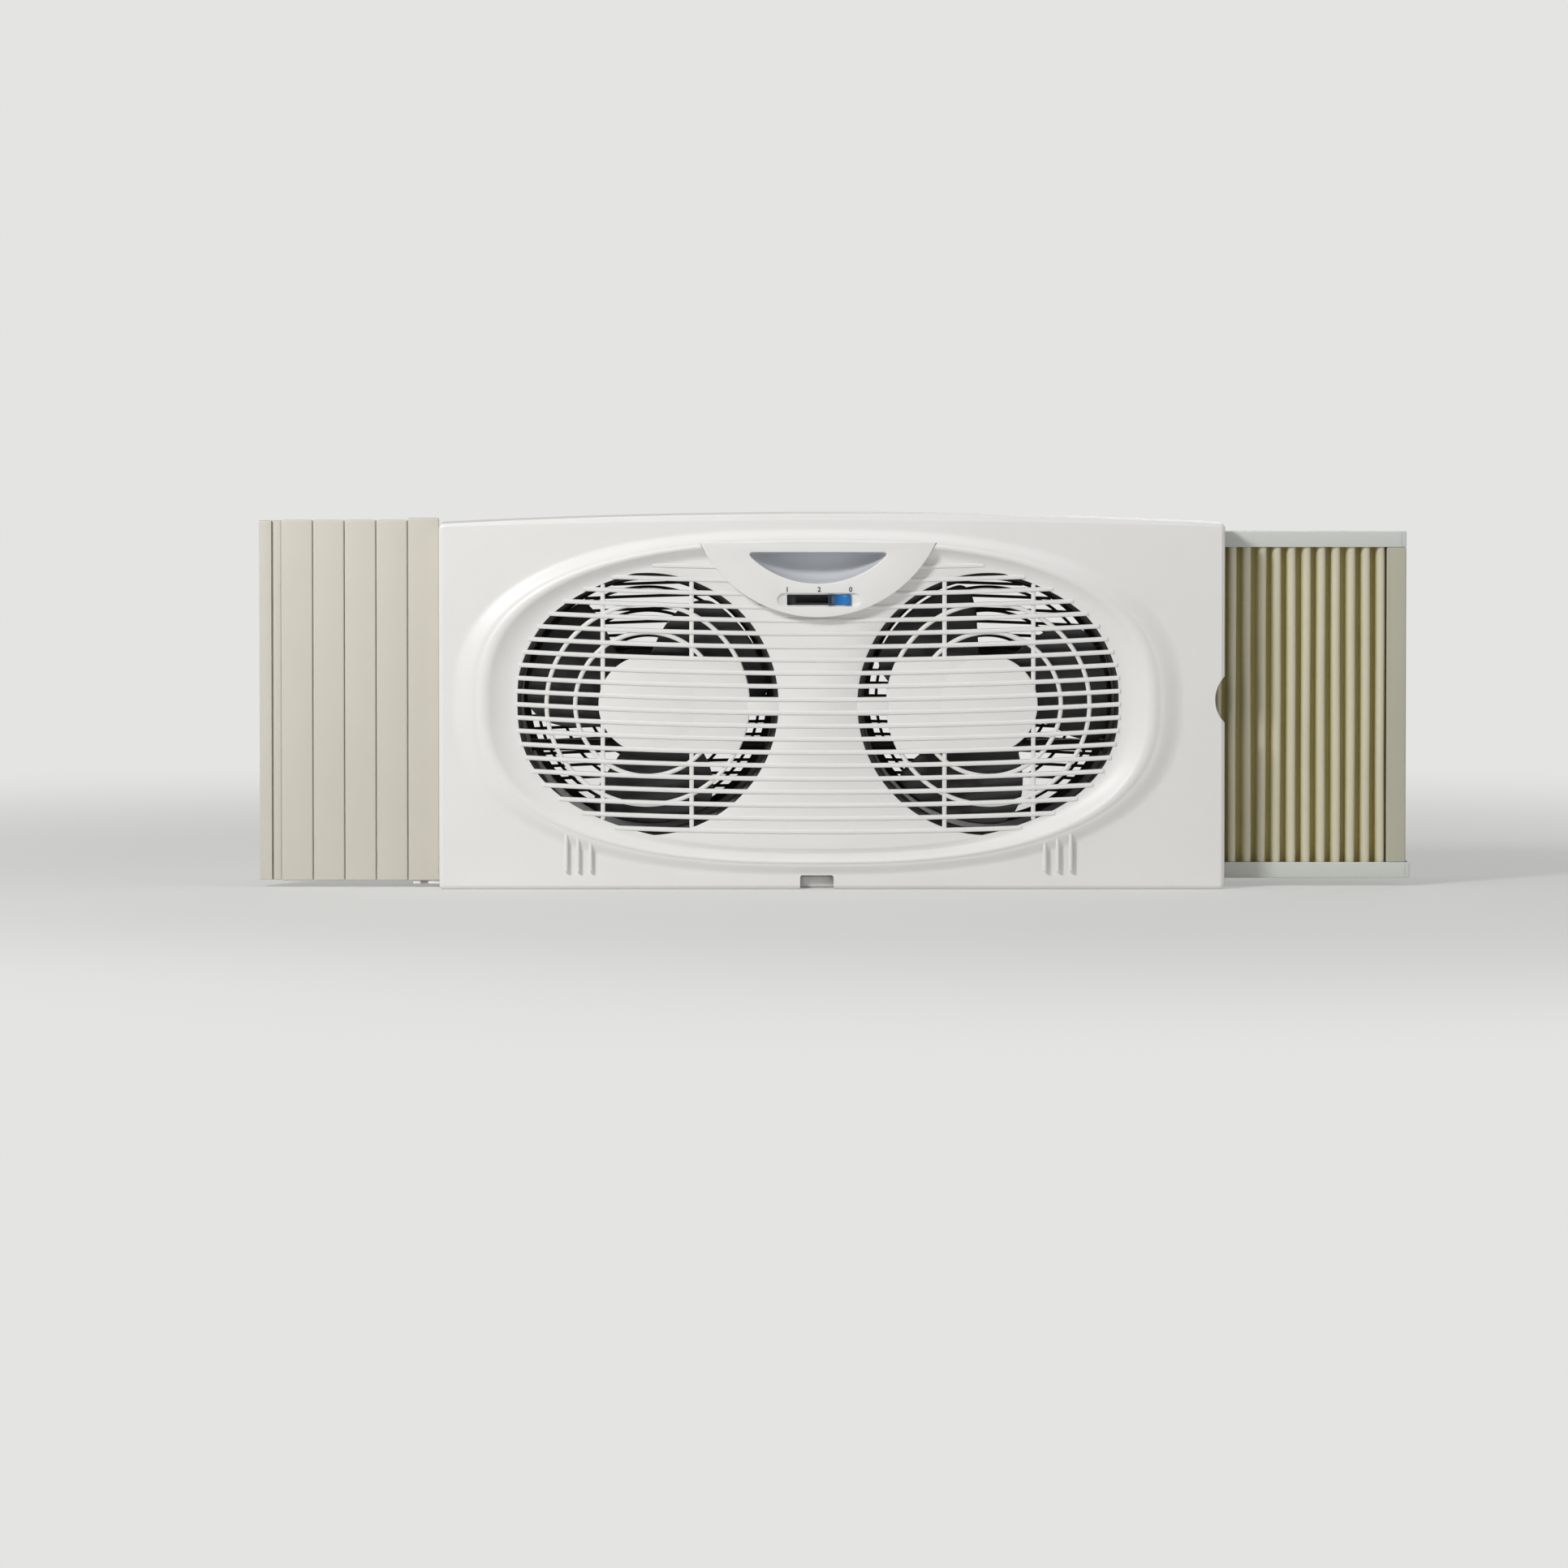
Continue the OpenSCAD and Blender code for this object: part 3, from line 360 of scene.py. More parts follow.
def turned(profile, x, z, steps, closed=False):
    # a solid of revolution about an axis along Y, its profile given as radius and Y pairs; closed
    # profiles make rings, open ones are capped at both ends
    bm = bmesh.new()
    turns = [(cos(2 * pi * k / steps), sin(2 * pi * k / steps)) for k in range(steps)]
    rings = [[at(x + r * c, y, z + r * s) for c, s in turns] for r, y in profile]
    ringLoft(bm, rings, close=closed)
    if not closed:
        fillHoles(bm)
    return bm


def bar(section, x0, x1):  # a straight bar along X over a closed section of Y and Z pairs
    bm = bmesh.new()
    made = ops.create_circle(bm, cap_ends=True, radius=1, segments=len(section))["verts"]
    for vert, (y, z) in zip(made, section):
        vert.co = at(x0, y, z)
    grown = ops.extrude_face_region(bm, geom=bm.faces[:])["geom"]
    ops.translate(bm, verts=vertsIn(grown), vec=at(x1 - x0, 0, 0))
    return bm


def flatCircle(bm, radius, x, y, z, segments):  # upright disc facing the front
    made = ops.create_circle(bm, cap_ends=True, radius=radius * mm, segments=segments)["verts"]
    ops.rotate(bm, verts=made, cent=(0, 0, 0), matrix=Matrix.Rotation(pi / 2, 3, "X"))
    ops.translate(bm, verts=made, vec=at(x, y, z))
    return bm.faces[:]


def keepSide(bm, point, away):  # cuts everything at a plane and keeps what lies against the arrow
    ops.bisect_plane(bm, geom=bm.verts[:] + bm.edges[:] + bm.faces[:], dist=1e-7,
                           plane_co=Vector(point) * mm, plane_no=away, clear_outer=True)


def bare(bm, faces):  # drops faces and keeps their outline
    ops.delete(bm, geom=faces, context="FACES_ONLY")


def spinRound(bm, x, z, steps):  # what is drawn in bm, turned once about an axis along Y
    ops.spin(bm, geom=bm.verts[:] + bm.edges[:], cent=at(x, 0, z), axis=(0, 1, 0),
                   dvec=(0, 0, 0), angle=2 * pi, steps=steps, use_merge=True, use_duplicate=False)


def temporary(bm):
    ops.recalc_face_normals(bm, faces=bm.faces)
    mesh = bpy.data.meshes.new("cutter")
    bm.to_mesh(mesh)
    bm.free()
    return addObject("cutter", mesh)


def carve(bm, cutters):  # cuts closed shapes out of a closed shape
    work = temporary(bm)
    tools = [temporary(c) for c in cutters]
    for tool in tools:
        step = work.modifiers.new("cut", "BOOLEAN")
        step.object, step.operation, step.solver = tool, "DIFFERENCE", "EXACT"
    result = evaluated(work)
    for item in [work, *tools]:
        bpy.data.objects.remove(item)
    return result


def evaluated(item):  # an object's shape as it is drawn, in a mesh of its own
    bpy.context.view_layer.update()
    drawn = item.evaluated_get(bpy.context.evaluated_depsgraph_get())
    bm = bmesh.new()
    bm.from_mesh(drawn.to_mesh())
    drawn.to_mesh_clear()
    return bm


ahead, behind = -60, -30  # cutters start in front of the object, and some end behind the grille


def prism(outline, far):  # a closed cutter from ahead of the object back to Y = far
    bm = bmesh.new()
    grown = ops.extrude_face_region(bm, geom=outline(bm))["geom"]
    ops.translate(bm, verts=vertsIn(grown), vec=at(0, far - ahead, 0))
    return bm


# front shell: an oval slope, crest and skirt in a flat face with an arched top
shell = {"left": -281.7, "right": 302.3, "endHeight": 272, "crown": 7.5, "corner": 3.6, "midZ": 139.4,
         "face": -46, "crest": -52, "lining": -43.4, "seam": -12, "wall": 2.6, "backing": 2.4,
         "power": 2.55, "openW": 223.5, "openH": 109.2, "slopeW": 21, "slopeH": 8, "cove": 1.85,
         "crestW": 9.5, "crestH": 3.4, "crestRound": 1.1, "skirtW": 18, "skirtH": 8.7,
         "edgeRound": 2.2, "topBand": 2.6}
groove = {"deep": 2.1, "start": 0.05, "foot": 0.5, "rise": 1.25, "fromSine": 0.45, "overSine": 0.35}
bowl = {"radius": 97, "midZ": 299.6, "top": 258.4, "back": -44.5, "front": -51.96, "gap": 0.25, "drop": 1.1}
moon = {"halfWidth": 53.3, "top": 251, "sag": 23.4, "corner": 5.4, "shellGap": 2.2, "plateGap": 2.3}
notch = {"left": -13.3, "right": 11.5, "top": 10.3, "round": 1.6, "deep": 8}
notchWall = {"over": 2.7, "near": 6.1, "far": 8.1, "low": 1.6, "high": 9.3}
scallop = {"radius": 24.7, "x": 319.8, "z": 141.2}
ribs = {"xs": [-187.3, -178.6, -169.2, 168.6, 178, 187.8], "low": 13.2, "short": 0.6, "radius": 1.3,
        "proud": 4.3, "sunk": 1, "rounding": 1.25}

halfBody = (shell["right"] - shell["left"]) / 2
midBody = (shell["right"] + shell["left"]) / 2
crownR = (halfBody ** 2 + shell["crown"] ** 2) / (2 * shell["crown"])
slopeTop = shell["crest"] + shell["crestRound"]
crestHalfW = shell["openW"] + shell["slopeW"] + shell["crestW"]
crestHalfH = shell["openH"] + shell["slopeH"] + shell["crestH"]


def bodyAngles():  # close together where the oval turns sharply and at the body's corners
    count, step = 320, 1.6
    found = [atan2(crestHalfH * sin(2 * pi * k / count), crestHalfW * cos(2 * pi * k / count))
             for k in range(count)]
    for x, inward in ((shell["left"], 1), (shell["right"], -1)):
        for z, inside in ((0, 1), (shell["endHeight"], -1)):
            for k in range(-4, 5):
                across, up = x + inward * max(0, k) * step, z + inside * max(0, -k) * step
                found.append(atan2(up - shell["midZ"], across))
    return sorted(a % (2 * pi) for a in found)


def ovalEdge(x, wide, high):  # height of the oval's edge above its middle line
    n = shell["power"]
    return high * (1 - min(1, abs(x) / wide) ** n) ** (1 / n)


def ovalRing(angles, wider, higher, y, lowY=None):  # lowY: another depth along the oval's bottom
    w, h, n = shell["openW"] + wider, shell["openH"] + higher, shell["power"]
    points = []
    for a in angles:
        r = ((abs(cos(a)) / w) ** n + (abs(sin(a)) / h) ** n) ** (-1 / n)
        share = 0 if lowY is None else smooth((-sin(a) - groove["fromSine"]) / groove["overSine"])
        depth = between(y, lowY or 0, share)
        points.append(at(r * cos(a), depth, shell["midZ"] + r * sin(a)))
    return points


def outlineRing(angles, inset, drop, y):
    # the body's outline, found by halving between a circle well inside it and one outside: its
    # arched top sits lower in the middle by drop
    points = []
    for a in angles:
        low, high = 60, 420
        for _ in range(34):
            r = (low + high) / 2
            x, z = r * cos(a), shell["midZ"] + r * sin(a)
            share = max(0, 1 - ((x - midBody) / halfBody) ** 2)
            arch = (shell["endHeight"] + shell["crown"] - crownR
                    + sqrt(crownR ** 2 - min(abs(x - midBody), halfBody) ** 2) - drop * share)
            dx, dz = abs(x - midBody) - halfBody, max(z - arch, -z)
            qx, qz = dx + shell["corner"], dz + shell["corner"]
            gap = hypot(max(qx, 0), max(qz, 0)) + min(max(qx, qz), 0) - shell["corner"]
            low, high = (low, r) if gap > -inset else (r, high)
        points.append(at(r * cos(a), y, shell["midZ"] + r * sin(a)))
    return points


def bowlFaces(bm, more=0, y=ahead, lower=0):  # the panel's outline, a bowl under a straight top
    flatCircle(bm, bowl["radius"] + more, 0, y, bowl["midZ"], 180)
    keepSide(bm, (0, y, bowl["top"] - lower), (0, 0, 1))
    return bm.faces[:]


def moonFaces(bm, more=0, y=ahead):  # the finger recess's outline, a half moon with rounded corners
    r = (moon["halfWidth"] ** 2 + moon["sag"] ** 2) / (2 * moon["sag"])
    flatCircle(bm, r + more, 0, y, moon["top"] - moon["sag"] + r, 240)
    keepSide(bm, (0, y, moon["top"] + more), (0, 0, 1))
    corners = [v for v in bm.verts if abs(v.co.z / mm - moon["top"] - more) < 1e-3]
    reach = moon["corner"] + more
    near = [v for v in bm.verts for c in corners if v is not c and (v.co - c.co).length < reach * mm]
    ops.dissolve_verts(bm, verts=near)
    ease(bm, corners, reach, 6, "VERTICES")
    return bm.faces[:]


def slopeDepths(u):  # a cove at the sides, and along the bottom a groove and a short rise
    s, g = shell, groove
    rise = slopeTop - s["lining"]
    if u < g["foot"]:
        low = g["deep"] * sin(pi / 2 * max(0, u - g["start"]) / (g["foot"] - g["start"]))
    else:
        low = between(g["deep"], rise, ((u - g["foot"]) / (1 - g["foot"])) ** g["rise"])
    return s["lining"] + rise * u ** s["cove"], s["lining"] + low


def buildShell():
    angles = bodyAngles()
    s = shell
    overW, overH = s["slopeW"] + s["crestW"], s["slopeH"] + s["crestH"]
    rings = [ovalRing(angles, s["slopeW"] * k / 14, s["slopeH"] * k / 14, *slopeDepths(k / 14))
             for k in range(15)]
    for k in range(1, 8):  # rounded crest
        u = k / 8
        rings.append(ovalRing(angles, s["slopeW"] + s["crestW"] * u, s["slopeH"] + s["crestH"] * u,
                              s["crest"] + s["crestRound"] * (1 - sin(pi * u) ** 0.8)))
    for k in range(13):  # skirt, an easy S down to the flat face
        u = k / 12
        rings.append(ovalRing(angles, overW + s["skirtW"] * u, overH + s["skirtH"] * u,
                              between(slopeTop, s["face"], smooth(u))))
    rings.append(ovalRing(angles, overW + s["skirtW"] + 1, overH + s["skirtH"] + 1, s["face"]))
    r, band = s["edgeRound"], s["topBand"]
    rolled = [(r + 1.1, band + 1.7, 0), (r + 0.1, band + 0.7, 0), (r, band, 0.05),
              (r * 0.8, band - 0.5, 0.35), (r * 0.62, 0.3, 0.75)]  # inset, drop of the top and depth
    rolled += [(r * 0.62 * (1 - q), 0.3 * (1 - q), 0.75 + (r - 0.4) * (1 - p)) for p, q in quarter(5)[1:]]
    rings += [outlineRing(angles, inset, drop, s["face"] + deep) for inset, drop, deep in rolled]
    back = s["lining"] + s["backing"]
    rings += [outlineRing(angles, inset, 0, y)
              for inset, y in ((0, s["seam"]), (s["wall"], s["seam"]), (s["wall"], back))]
    rings.append(ovalRing(angles, 0, 0, back))
    bm = bmesh.new()
    ringLoft(bm, rings, close=True)
    n, c = notch, scallop
    slot = block((n["left"], s["crest"] - 2, -n["deep"]), (n["right"], s["lining"] + n["deep"], n["top"]))
    ease(slot, [e for e in slot.edges if abs(e.verts[0].co.y - e.verts[1].co.y) > 1e-4], n["round"], 4)
    bm = carve(bm, [
        prism(lambda b: bowlFaces(b, bowl["gap"], lower=bowl["drop"]), s["face"]),
        prism(lambda b: moonFaces(b, moon["shellGap"]), s["lining"] + 4), slot,
        prism(lambda b: flatCircle(b, c["radius"], c["x"], ahead, c["z"], 128), s["seam"] + 1)])
    w = notchWall
    roundedBox(bm, (n["left"] - w["over"], s["lining"] + w["near"], w["low"]),
               (n["right"] + w["over"], s["lining"] + w["far"], w["high"]), 0.4, 2)
    q = ribs["radius"]
    for x in ribs["xs"]:
        top = s["midZ"] - ovalEdge(x, crestHalfW, crestHalfH) - ribs["short"]
        roundedBox(bm, (x - q, s["face"] - ribs["proud"], ribs["low"]),
                   (x + q, s["face"] + ribs["sunk"], top), ribs["rounding"], 5)
    finishPiece("front_shell_skin", bm, whiteAbs, "housing", ["front_shell"])


buildShell()
print("front shell built")


# louvred front grille: drooping bars before an oval plate with two open rounds
grille = {"fanX": 127, "fanZ": 137.6, "window": 97.7, "outer": 74.8, "inner": 53.5, "post": 33,
          "hub": 36.2, "hubRows": (6, 13), "bar": 3.3, "pitch": 9.83, "first": 42.65, "count": 21,
          "sag": 3900, "front": -44.6, "back": -39, "gaps": {17: 31, 18: 31, 19: 50, 20: 54},
          "plateFront": -43.4, "plateBack": -41.4, "edgeW": 4, "edgeH": 1.2, "roll": 1.6, "flare": 0.5,
          "bridgeLow": 8.5, "bridgeHigh": 3.5}
switch = {"x": 0.7, "z": 215.5, "pocketW": 61.6, "pocketH": 10, "slotW": 47.6, "slotH": 8, "slotRound": 0.8,
          "floor": -49.5, "track": -45.4, "rim": 0.8, "windowHalfW": 28.5, "windowHalfH": 7,
          "windowCut": (-50, -35)}


def barReach(z):  # how far a bar runs before its edge meets the oval's edge
    near, far = 0, shell["openW"] + 1
    for _ in range(30):
        x = (near + far) / 2
        edge = ovalEdge(x, shell["openW"] + 1, shell["openH"] + 1)
        barZ = z + x * x / (2 * grille["sag"]) - shell["midZ"]
        if z < shell["midZ"]:
            inside = barZ + grille["bar"] / 2 > -edge
        else:
            inside = barZ - grille["bar"] / 2 < edge
        near, far = (x, far) if inside else (near, x)
    return near


def arcBar(bm, x0, x1, z, sag, near, back, high, steps):
    # one bar along an arc about the body's middle, its front edges rounded; sag < 0 bends down
    one = bmesh.new()
    prof = ops.create_grid(one, x_segments=1, y_segments=1, size=0.5)["verts"]
    for v in prof:  # profile in the YZ plane, front to back by bar height
        v.co = at(0, between(near, back, v.co.x + 0.5), z + v.co.y * high)
    ease(one, [v for v in prof if abs(v.co.y - near * mm) < 0.1 * mm], 0.38 * high, 5, "VERTICES")
    centre = at(0, 0, z + sag)
    start, end = -asin(x0 / sag), -asin(x1 / sag)
    ops.rotate(one, verts=one.verts, cent=centre, matrix=Matrix.Rotation(start, 3, "Y"))
    ops.spin(one, geom=one.verts[:] + one.edges[:] + one.faces[:], cent=centre, axis=(0, 1, 0),
                   dvec=(0, 0, 0), angle=end - start, steps=steps, use_duplicate=False)
    joinInto(bm, one)


def ringBar(bm, radius, x, front):  # full ring with a rounded front
    g = grille
    one = bmesh.new()
    prof = ops.create_grid(one, x_segments=1, y_segments=1, size=0.5)["verts"]
    for v in prof:
        v.co = at(x + radius + v.co.x * g["bar"], between(front, g["plateBack"], v.co.y + 0.5), g["fanZ"])
    ease(one, [v for v in prof if v.co.y < (front + 0.1) * mm], 0.45 * g["bar"], 4, "VERTICES")
    bare(one, one.faces[:])
    spinRound(one, x, g["fanZ"], 120)
    joinInto(bm, one)


def hubSlab(bm, radius, x, inward, front):  # part of a disc between two bars, halved where inward is set
    g = grille
    low, high = (g["first"] + row * g["pitch"] + 2 for row in g["hubRows"])
    slab = bmesh.new()
    flatCircle(slab, radius, x, g["plateBack"], g["fanZ"], 160)
    keepSide(slab, (0, 0, high), (0, 0, 1))
    keepSide(slab, (0, 0, low), (0, 0, -1))
    if inward:
        keepSide(slab, (x, 0, 0), (-inward, 0, 0))
    bare(slab, slab.faces[:])
    raiseOutline(slab, g["plateBack"], front, 0.5)
    joinInto(bm, slab)


def grillePlate():  # oval plate with its two rounds, the finger recess and the switch window
    g = grille
    angles = [2 * pi * k / 240 for k in range(240)]
    plate = bmesh.new()
    rings = [ovalRing(angles, g["edgeW"], g["edgeH"], g["plateBack"])]
    rings += [ovalRing(angles, g["edgeW"] - g["roll"] * (1 - p), g["edgeH"] - g["roll"] * (1 - p),
                       g["plateFront"] + g["roll"] * (1 - q)) for p, q in quarter(5)]
    ringLoft(plate, rings)
    fillHoles(plate)
    w, h, (near, far) = switch["windowHalfW"], switch["windowHalfH"], switch["windowCut"]
    cuts = [block((switch["x"] - w, near, switch["z"] - h), (switch["x"] + w, far, switch["z"] + h)),
            prism(lambda b: moonFaces(b, moon["plateGap"]), behind)]
    r, front, flare = g["window"], g["plateFront"], g["flare"]
    steps = [(r, behind), (r, front + flare), (r + 0.3 * flare, front + 0.4 * flare), (r + flare, front),
             (r + flare, ahead)]
    cuts += [turned(steps, x, g["fanZ"], 160) for x in (-g["fanX"], g["fanX"])]
    return carve(plate, cuts)


def buildGrille():
    g = grille
    bm = bmesh.new()
    for k in range(g["count"]):
        z = g["first"] + k * g["pitch"]
        reach, gap = barReach(z), g["gaps"].get(k, 0)
        for x0, x1 in ((-reach, -gap), (gap, reach)) if gap else ((-reach, reach),):
            arcBar(bm, x0, x1, z, g["sag"], g["front"], g["back"], g["bar"], 28)
    joinInto(bm, grillePlate())
    half = sqrt(g["window"] ** 2 - g["post"] ** 2) + 1.5
    for side in (-1, 1):
        x = side * g["fanX"]
        for radius in (g["outer"], g["inner"]):
            ringBar(bm, radius, x, g["plateFront"] + 0.15)
        for off in (-g["post"], g["post"]):  # uprights, no longer than the oval is high
            edge = ovalEdge(x + off, shell["openW"], shell["openH"])
            foot = max(g["fanZ"] - half, shell["midZ"] - edge)
            head = min(g["fanZ"] + half, shell["midZ"] + edge)
            roundedBox(bm, (x + off - g["bar"] / 2, g["plateFront"] + 0.25, foot),
                       (x + off + g["bar"] / 2, g["plateBack"], head), 0.8, 3)
        hubSlab(bm, g["hub"], x, 0, g["plateFront"])
        hubSlab(bm, g["outer"], x, -side, g["plateFront"] + 0.06)
        ends = sorted((x - side * (g["outer"] - 2), x - side * (g["window"] + 3)))
        roundedBox(bm, (ends[0], g["plateFront"] + 0.1, g["fanZ"] - g["bridgeLow"]),
                   (ends[1], g["plateBack"], g["fanZ"] + g["bridgeHigh"]), 0.4, 2)
    finishPiece("front_grille_louvres", bm, whiteAbs, "housing", ["front_grille"])


grilleScrew = {"head": -39.6, "neck": -41.4, "tip": -43.1, "headR": 2.95, "shankR": 1.5,
               "xs": (-198.59, 198.59), "zs": (215.99, 62.8)}
thread = {"pitch": 1.1, "root": 0.8, "start": 0.5, "flank": 0.45, "point": 0.8, "dome": 0.55,
          "slot": 0.55, "slotDeep": 0.9, "slotLong": 1.1}


def buildScrews(name, spots, screw, node):
    # each has a domed head with a cross recess, and a threaded shank that ends in a point
    s, t = screw, thread
    bm = bmesh.new()
    dome = t["dome"] * abs(s["head"] - s["neck"])
    profile = [(0, s["head"])] + [(s["headR"] * q, s["head"] - dome * (1 - p)) for p, q in quarter(5)[1:]]
    profile += [(s["headR"], s["neck"]), (s["shankR"], s["neck"])]
    for k in range(max(2, int((s["neck"] - s["tip"]) / t["pitch"]))):
        y = s["neck"] - t["start"] - k * t["pitch"]
        profile += [(s["shankR"] * t["root"], y), (s["shankR"], y - t["flank"])]
    profile += [(s["shankR"] * t["root"], s["tip"] + t["point"]), (0, s["tip"])]
    for x, z in spots:
        one = bmesh.new()
        made = ops.create_vert(one, co=at(0, profile[0][1], 0))["vert"][0]
        for r, y in profile[1:]:
            made = ops.extrude_vert_indiv(one, verts=[made])["verts"][0]
            made.co = at(r, y, 0)
        spinRound(one, 0, 0, 28)
        ops.remove_doubles(one, verts=one.verts, dist=1e-7)
        long = s["headR"] * t["slotLong"]
        one = carve(one, [block((-w / 2, s["head"] - t["slotDeep"], -h / 2), (w / 2, s["head"] + 1, h / 2))
                          for w, h in ((long, t["slot"]), (t["slot"], long))])
        ops.translate(one, verts=one.verts, vec=at(x, 0, z))
        joinInto(bm, one)
    finishPiece(name, bm, zincSteel, "housing", [node])


buildGrille()
buildScrews("grille_screw_set", [(x, z) for z in grilleScrew["zs"] for x in grilleScrew["xs"]],
            grilleScrew, "grille_screws")
print("grille built")


# control panel with its scooped pocket, finger recess, knob and digits
def softRectRing(w, h, corner, y):  # rectangle with round corners, a stadium at corner = h / 2
    points, count = [], 96
    for k in range(count):
        a = 2 * pi * (k + 0.5) / count
        x = corner * cos(a) + (w / 2 - corner) * (1 if cos(a) > 0 else -1)
        z = corner * sin(a) + (h / 2 - corner) * (1 if sin(a) > 0 else -1)
        points.append(at(switch["x"] + x, y, switch["z"] + z))
    return points


def buildPanel():
    s = switch
    bm, hole, pocket = bmesh.new(), bmesh.new(), bmesh.new()
    bare(bm, bowlFaces(bm, 0, bowl["back"]))
    bare(hole, moonFaces(hole, 0, bowl["back"]))
    joinInto(bm, hole)
    ringLoft(pocket, [softRectRing(s["pocketW"], s["pocketH"], s["pocketH"] / 2, bowl["back"])])
    joinInto(bm, pocket)
    ops.remove_doubles(bm, verts=bm.verts, dist=1e-6)
    raiseOutline(bm, bowl["back"], bowl["front"], s["rim"], 4)
    outer = softRectRing(s["pocketW"], s["pocketH"], s["pocketH"] / 2, 0)
    inner = softRectRing(s["slotW"], s["slotH"], s["slotRound"], 0)
    edge = bowl["front"] + s["rim"]
    scoop = []
    for k in range(7):  # concave pocket wall down to the slot, then the slot's own straight wall
        u = k / 6
        y = between(edge, s["floor"], sin(u * pi / 2)) * mm
        scoop.append([(between(a[0], b[0], u), y, between(a[2], b[2], u)) for a, b in zip(outer, inner)])
    scoop.append([(x, s["track"] * mm, z) for x, _, z in scoop[-1]])
    ringLoft(bm, scoop)
    finishPiece("control_panel_face", bm, whiteAbs, "housing", ["control_panel"])


recess = {"play": 0.02, "sunk": 0.7, "hinge": 1, "deep": 25.9, "least": 0.14, "narrow": 0.35,
          "steps": 24, "wall": 1.4}


def buildRecess():
    # a scoop: the top wall runs straight back for the fingers, the floor sweeps up to meet it
    r = recess
    bm = bmesh.new()
    bare(bm, moonFaces(bm, r["play"], bowl["front"] + r["sunk"]))
    base = Matrix.Translation(Vector(at(0, 0, r["hinge"] - moon["top"])))
    edges, depth, share = bm.edges[:], 0, 1
    for k in range(1, r["steps"] + 1):  # a quarter of an ellipse
        t = pi / 2 * k / r["steps"]
        deeper, less = r["deep"] * sin(t) ** 1.15, between(r["least"], 1, cos(t) ** 0.8)
        verts, edges = pullEdges(bm, edges)
        ratio = less / share
        ops.scale(bm, verts=verts, vec=(between(r["narrow"], 1, ratio), 1, ratio), space=base)
        ops.translate(bm, verts=verts, vec=at(0, deeper - depth, 0))
        depth, share = deeper, less
    ops.holes_fill(bm, edges=edges, sides=0)
    ops.recalc_face_normals(bm, faces=bm.faces)
    ops.reverse_faces(bm, faces=bm.faces)
    # the scoop wears the recess material, whose darker, cooler tone is painted shade
    skin = finishPiece("finger_recess_scoop", bm, recessPaintedShadeAbs, "housing", ["handle_cup"],
                       75, recalc=False)
    wall = skin.modifiers.new("wall", "SOLIDIFY")
    wall.thickness, wall.offset = r["wall"] * mm, -1


knob = {"left": 7.2, "right": 24.2, "low": 211.8, "high": 219.2, "front": -51.6, "back": -45.7,
        "hollowR": 12.2, "hollowY": -62.4, "edge": 0.8}


def buildKnob():
    # its face is hollowed for a fingertip, and the edges roll off
    k = knob
    bm = bmesh.new()
    ops.create_grid(bm, x_segments=40, y_segments=16, size=0.5)
    middle = (k["left"] + k["right"]) / 2
    for v in bm.verts:
        x = between(k["left"], k["right"], v.co.x + 0.5)
        z = between(k["low"], k["high"], v.co.y + 0.5)
        y = max(k["front"], k["hollowY"] + sqrt(max(k["hollowR"] ** 2 - (x - middle) ** 2, 0)))
        near = min(x - k["left"], k["right"] - x, z - k["low"], k["high"] - z)
        roll = max(0, 1 - near / k["edge"])
        v.co = at(x, y + k["edge"] * (1 - sqrt(max(0, 1 - roll * roll))), z)
    for v in pullEdges(bm, [e for e in bm.edges if e.is_boundary])[0]:
        v.co.y = k["back"] * mm
    fillHoles(bm)
    finishPiece("speed_knob_cap", bm, knobAbs, "speed_slider", ["speed_knob"], 60)


digits = {"xs": {"1": -22.9, "2": 0.8, "0": 24.2}, "y": -51.95, "z": 221.75, "size": 4.95,
          "thick": 0.05, "bolder": 0.17}


def buildDigit(mark):
    words = bpy.data.curves.new("digit", "FONT")
    words.body, words.align_x, words.size = mark, "CENTER", digits["size"] * mm
    words.extrude, words.offset = digits["thick"] * mm, digits["bolder"] * mm
    holder = addObject("digit", words)
    bm = evaluated(holder)
    bpy.data.objects.remove(holder)
    ops.rotate(bm, verts=bm.verts, cent=(0, 0, 0), matrix=Matrix.Rotation(pi / 2, 3, "X"))
    ops.translate(bm, verts=bm.verts, vec=at(digits["xs"][mark], digits["y"], digits["z"]))
    finishPiece("digit_" + mark, bm, digitInk, "housing", (), 30)


buildPanel()
buildRecess()
buildKnob()
for mark in digits["xs"]:
    buildDigit(mark)
print("control panel built")


# right expander: two rails, end stile and the pleated sheet
rails = {"start": 266.8, "front": -11, "back": 7, "height": 11.8, "topZ": 253.1, "lowZ": 6,
         "topEnd": 438.6, "lowEnd": 441.6, "wall": 1.5, "floor": 3, "capJoint": (3.5, 3.15)}
stile = {"left": 424.1, "right": 438.6, "low": 17.8, "high": 253.1, "band": 2.6, "step": 0.45,
         "tenon": 5.5, "tenonIn": 2, "tenonWall": 1.8}
pleats = {"left": 269.1, "right": 424.1, "low": 9.3, "high": 261.6, "pitch": 11.16, "count": 14,
          "front": -9.2, "valley": 0.6, "sheet": 0.56, "ridge": 5.2, "flat": 2.6, "crown": 1.3,
          "lean": 1.6, "rows": 36, "sway": 0.5, "ripple": 0.28, "oddFold": 5, "oddLean": 1.1}


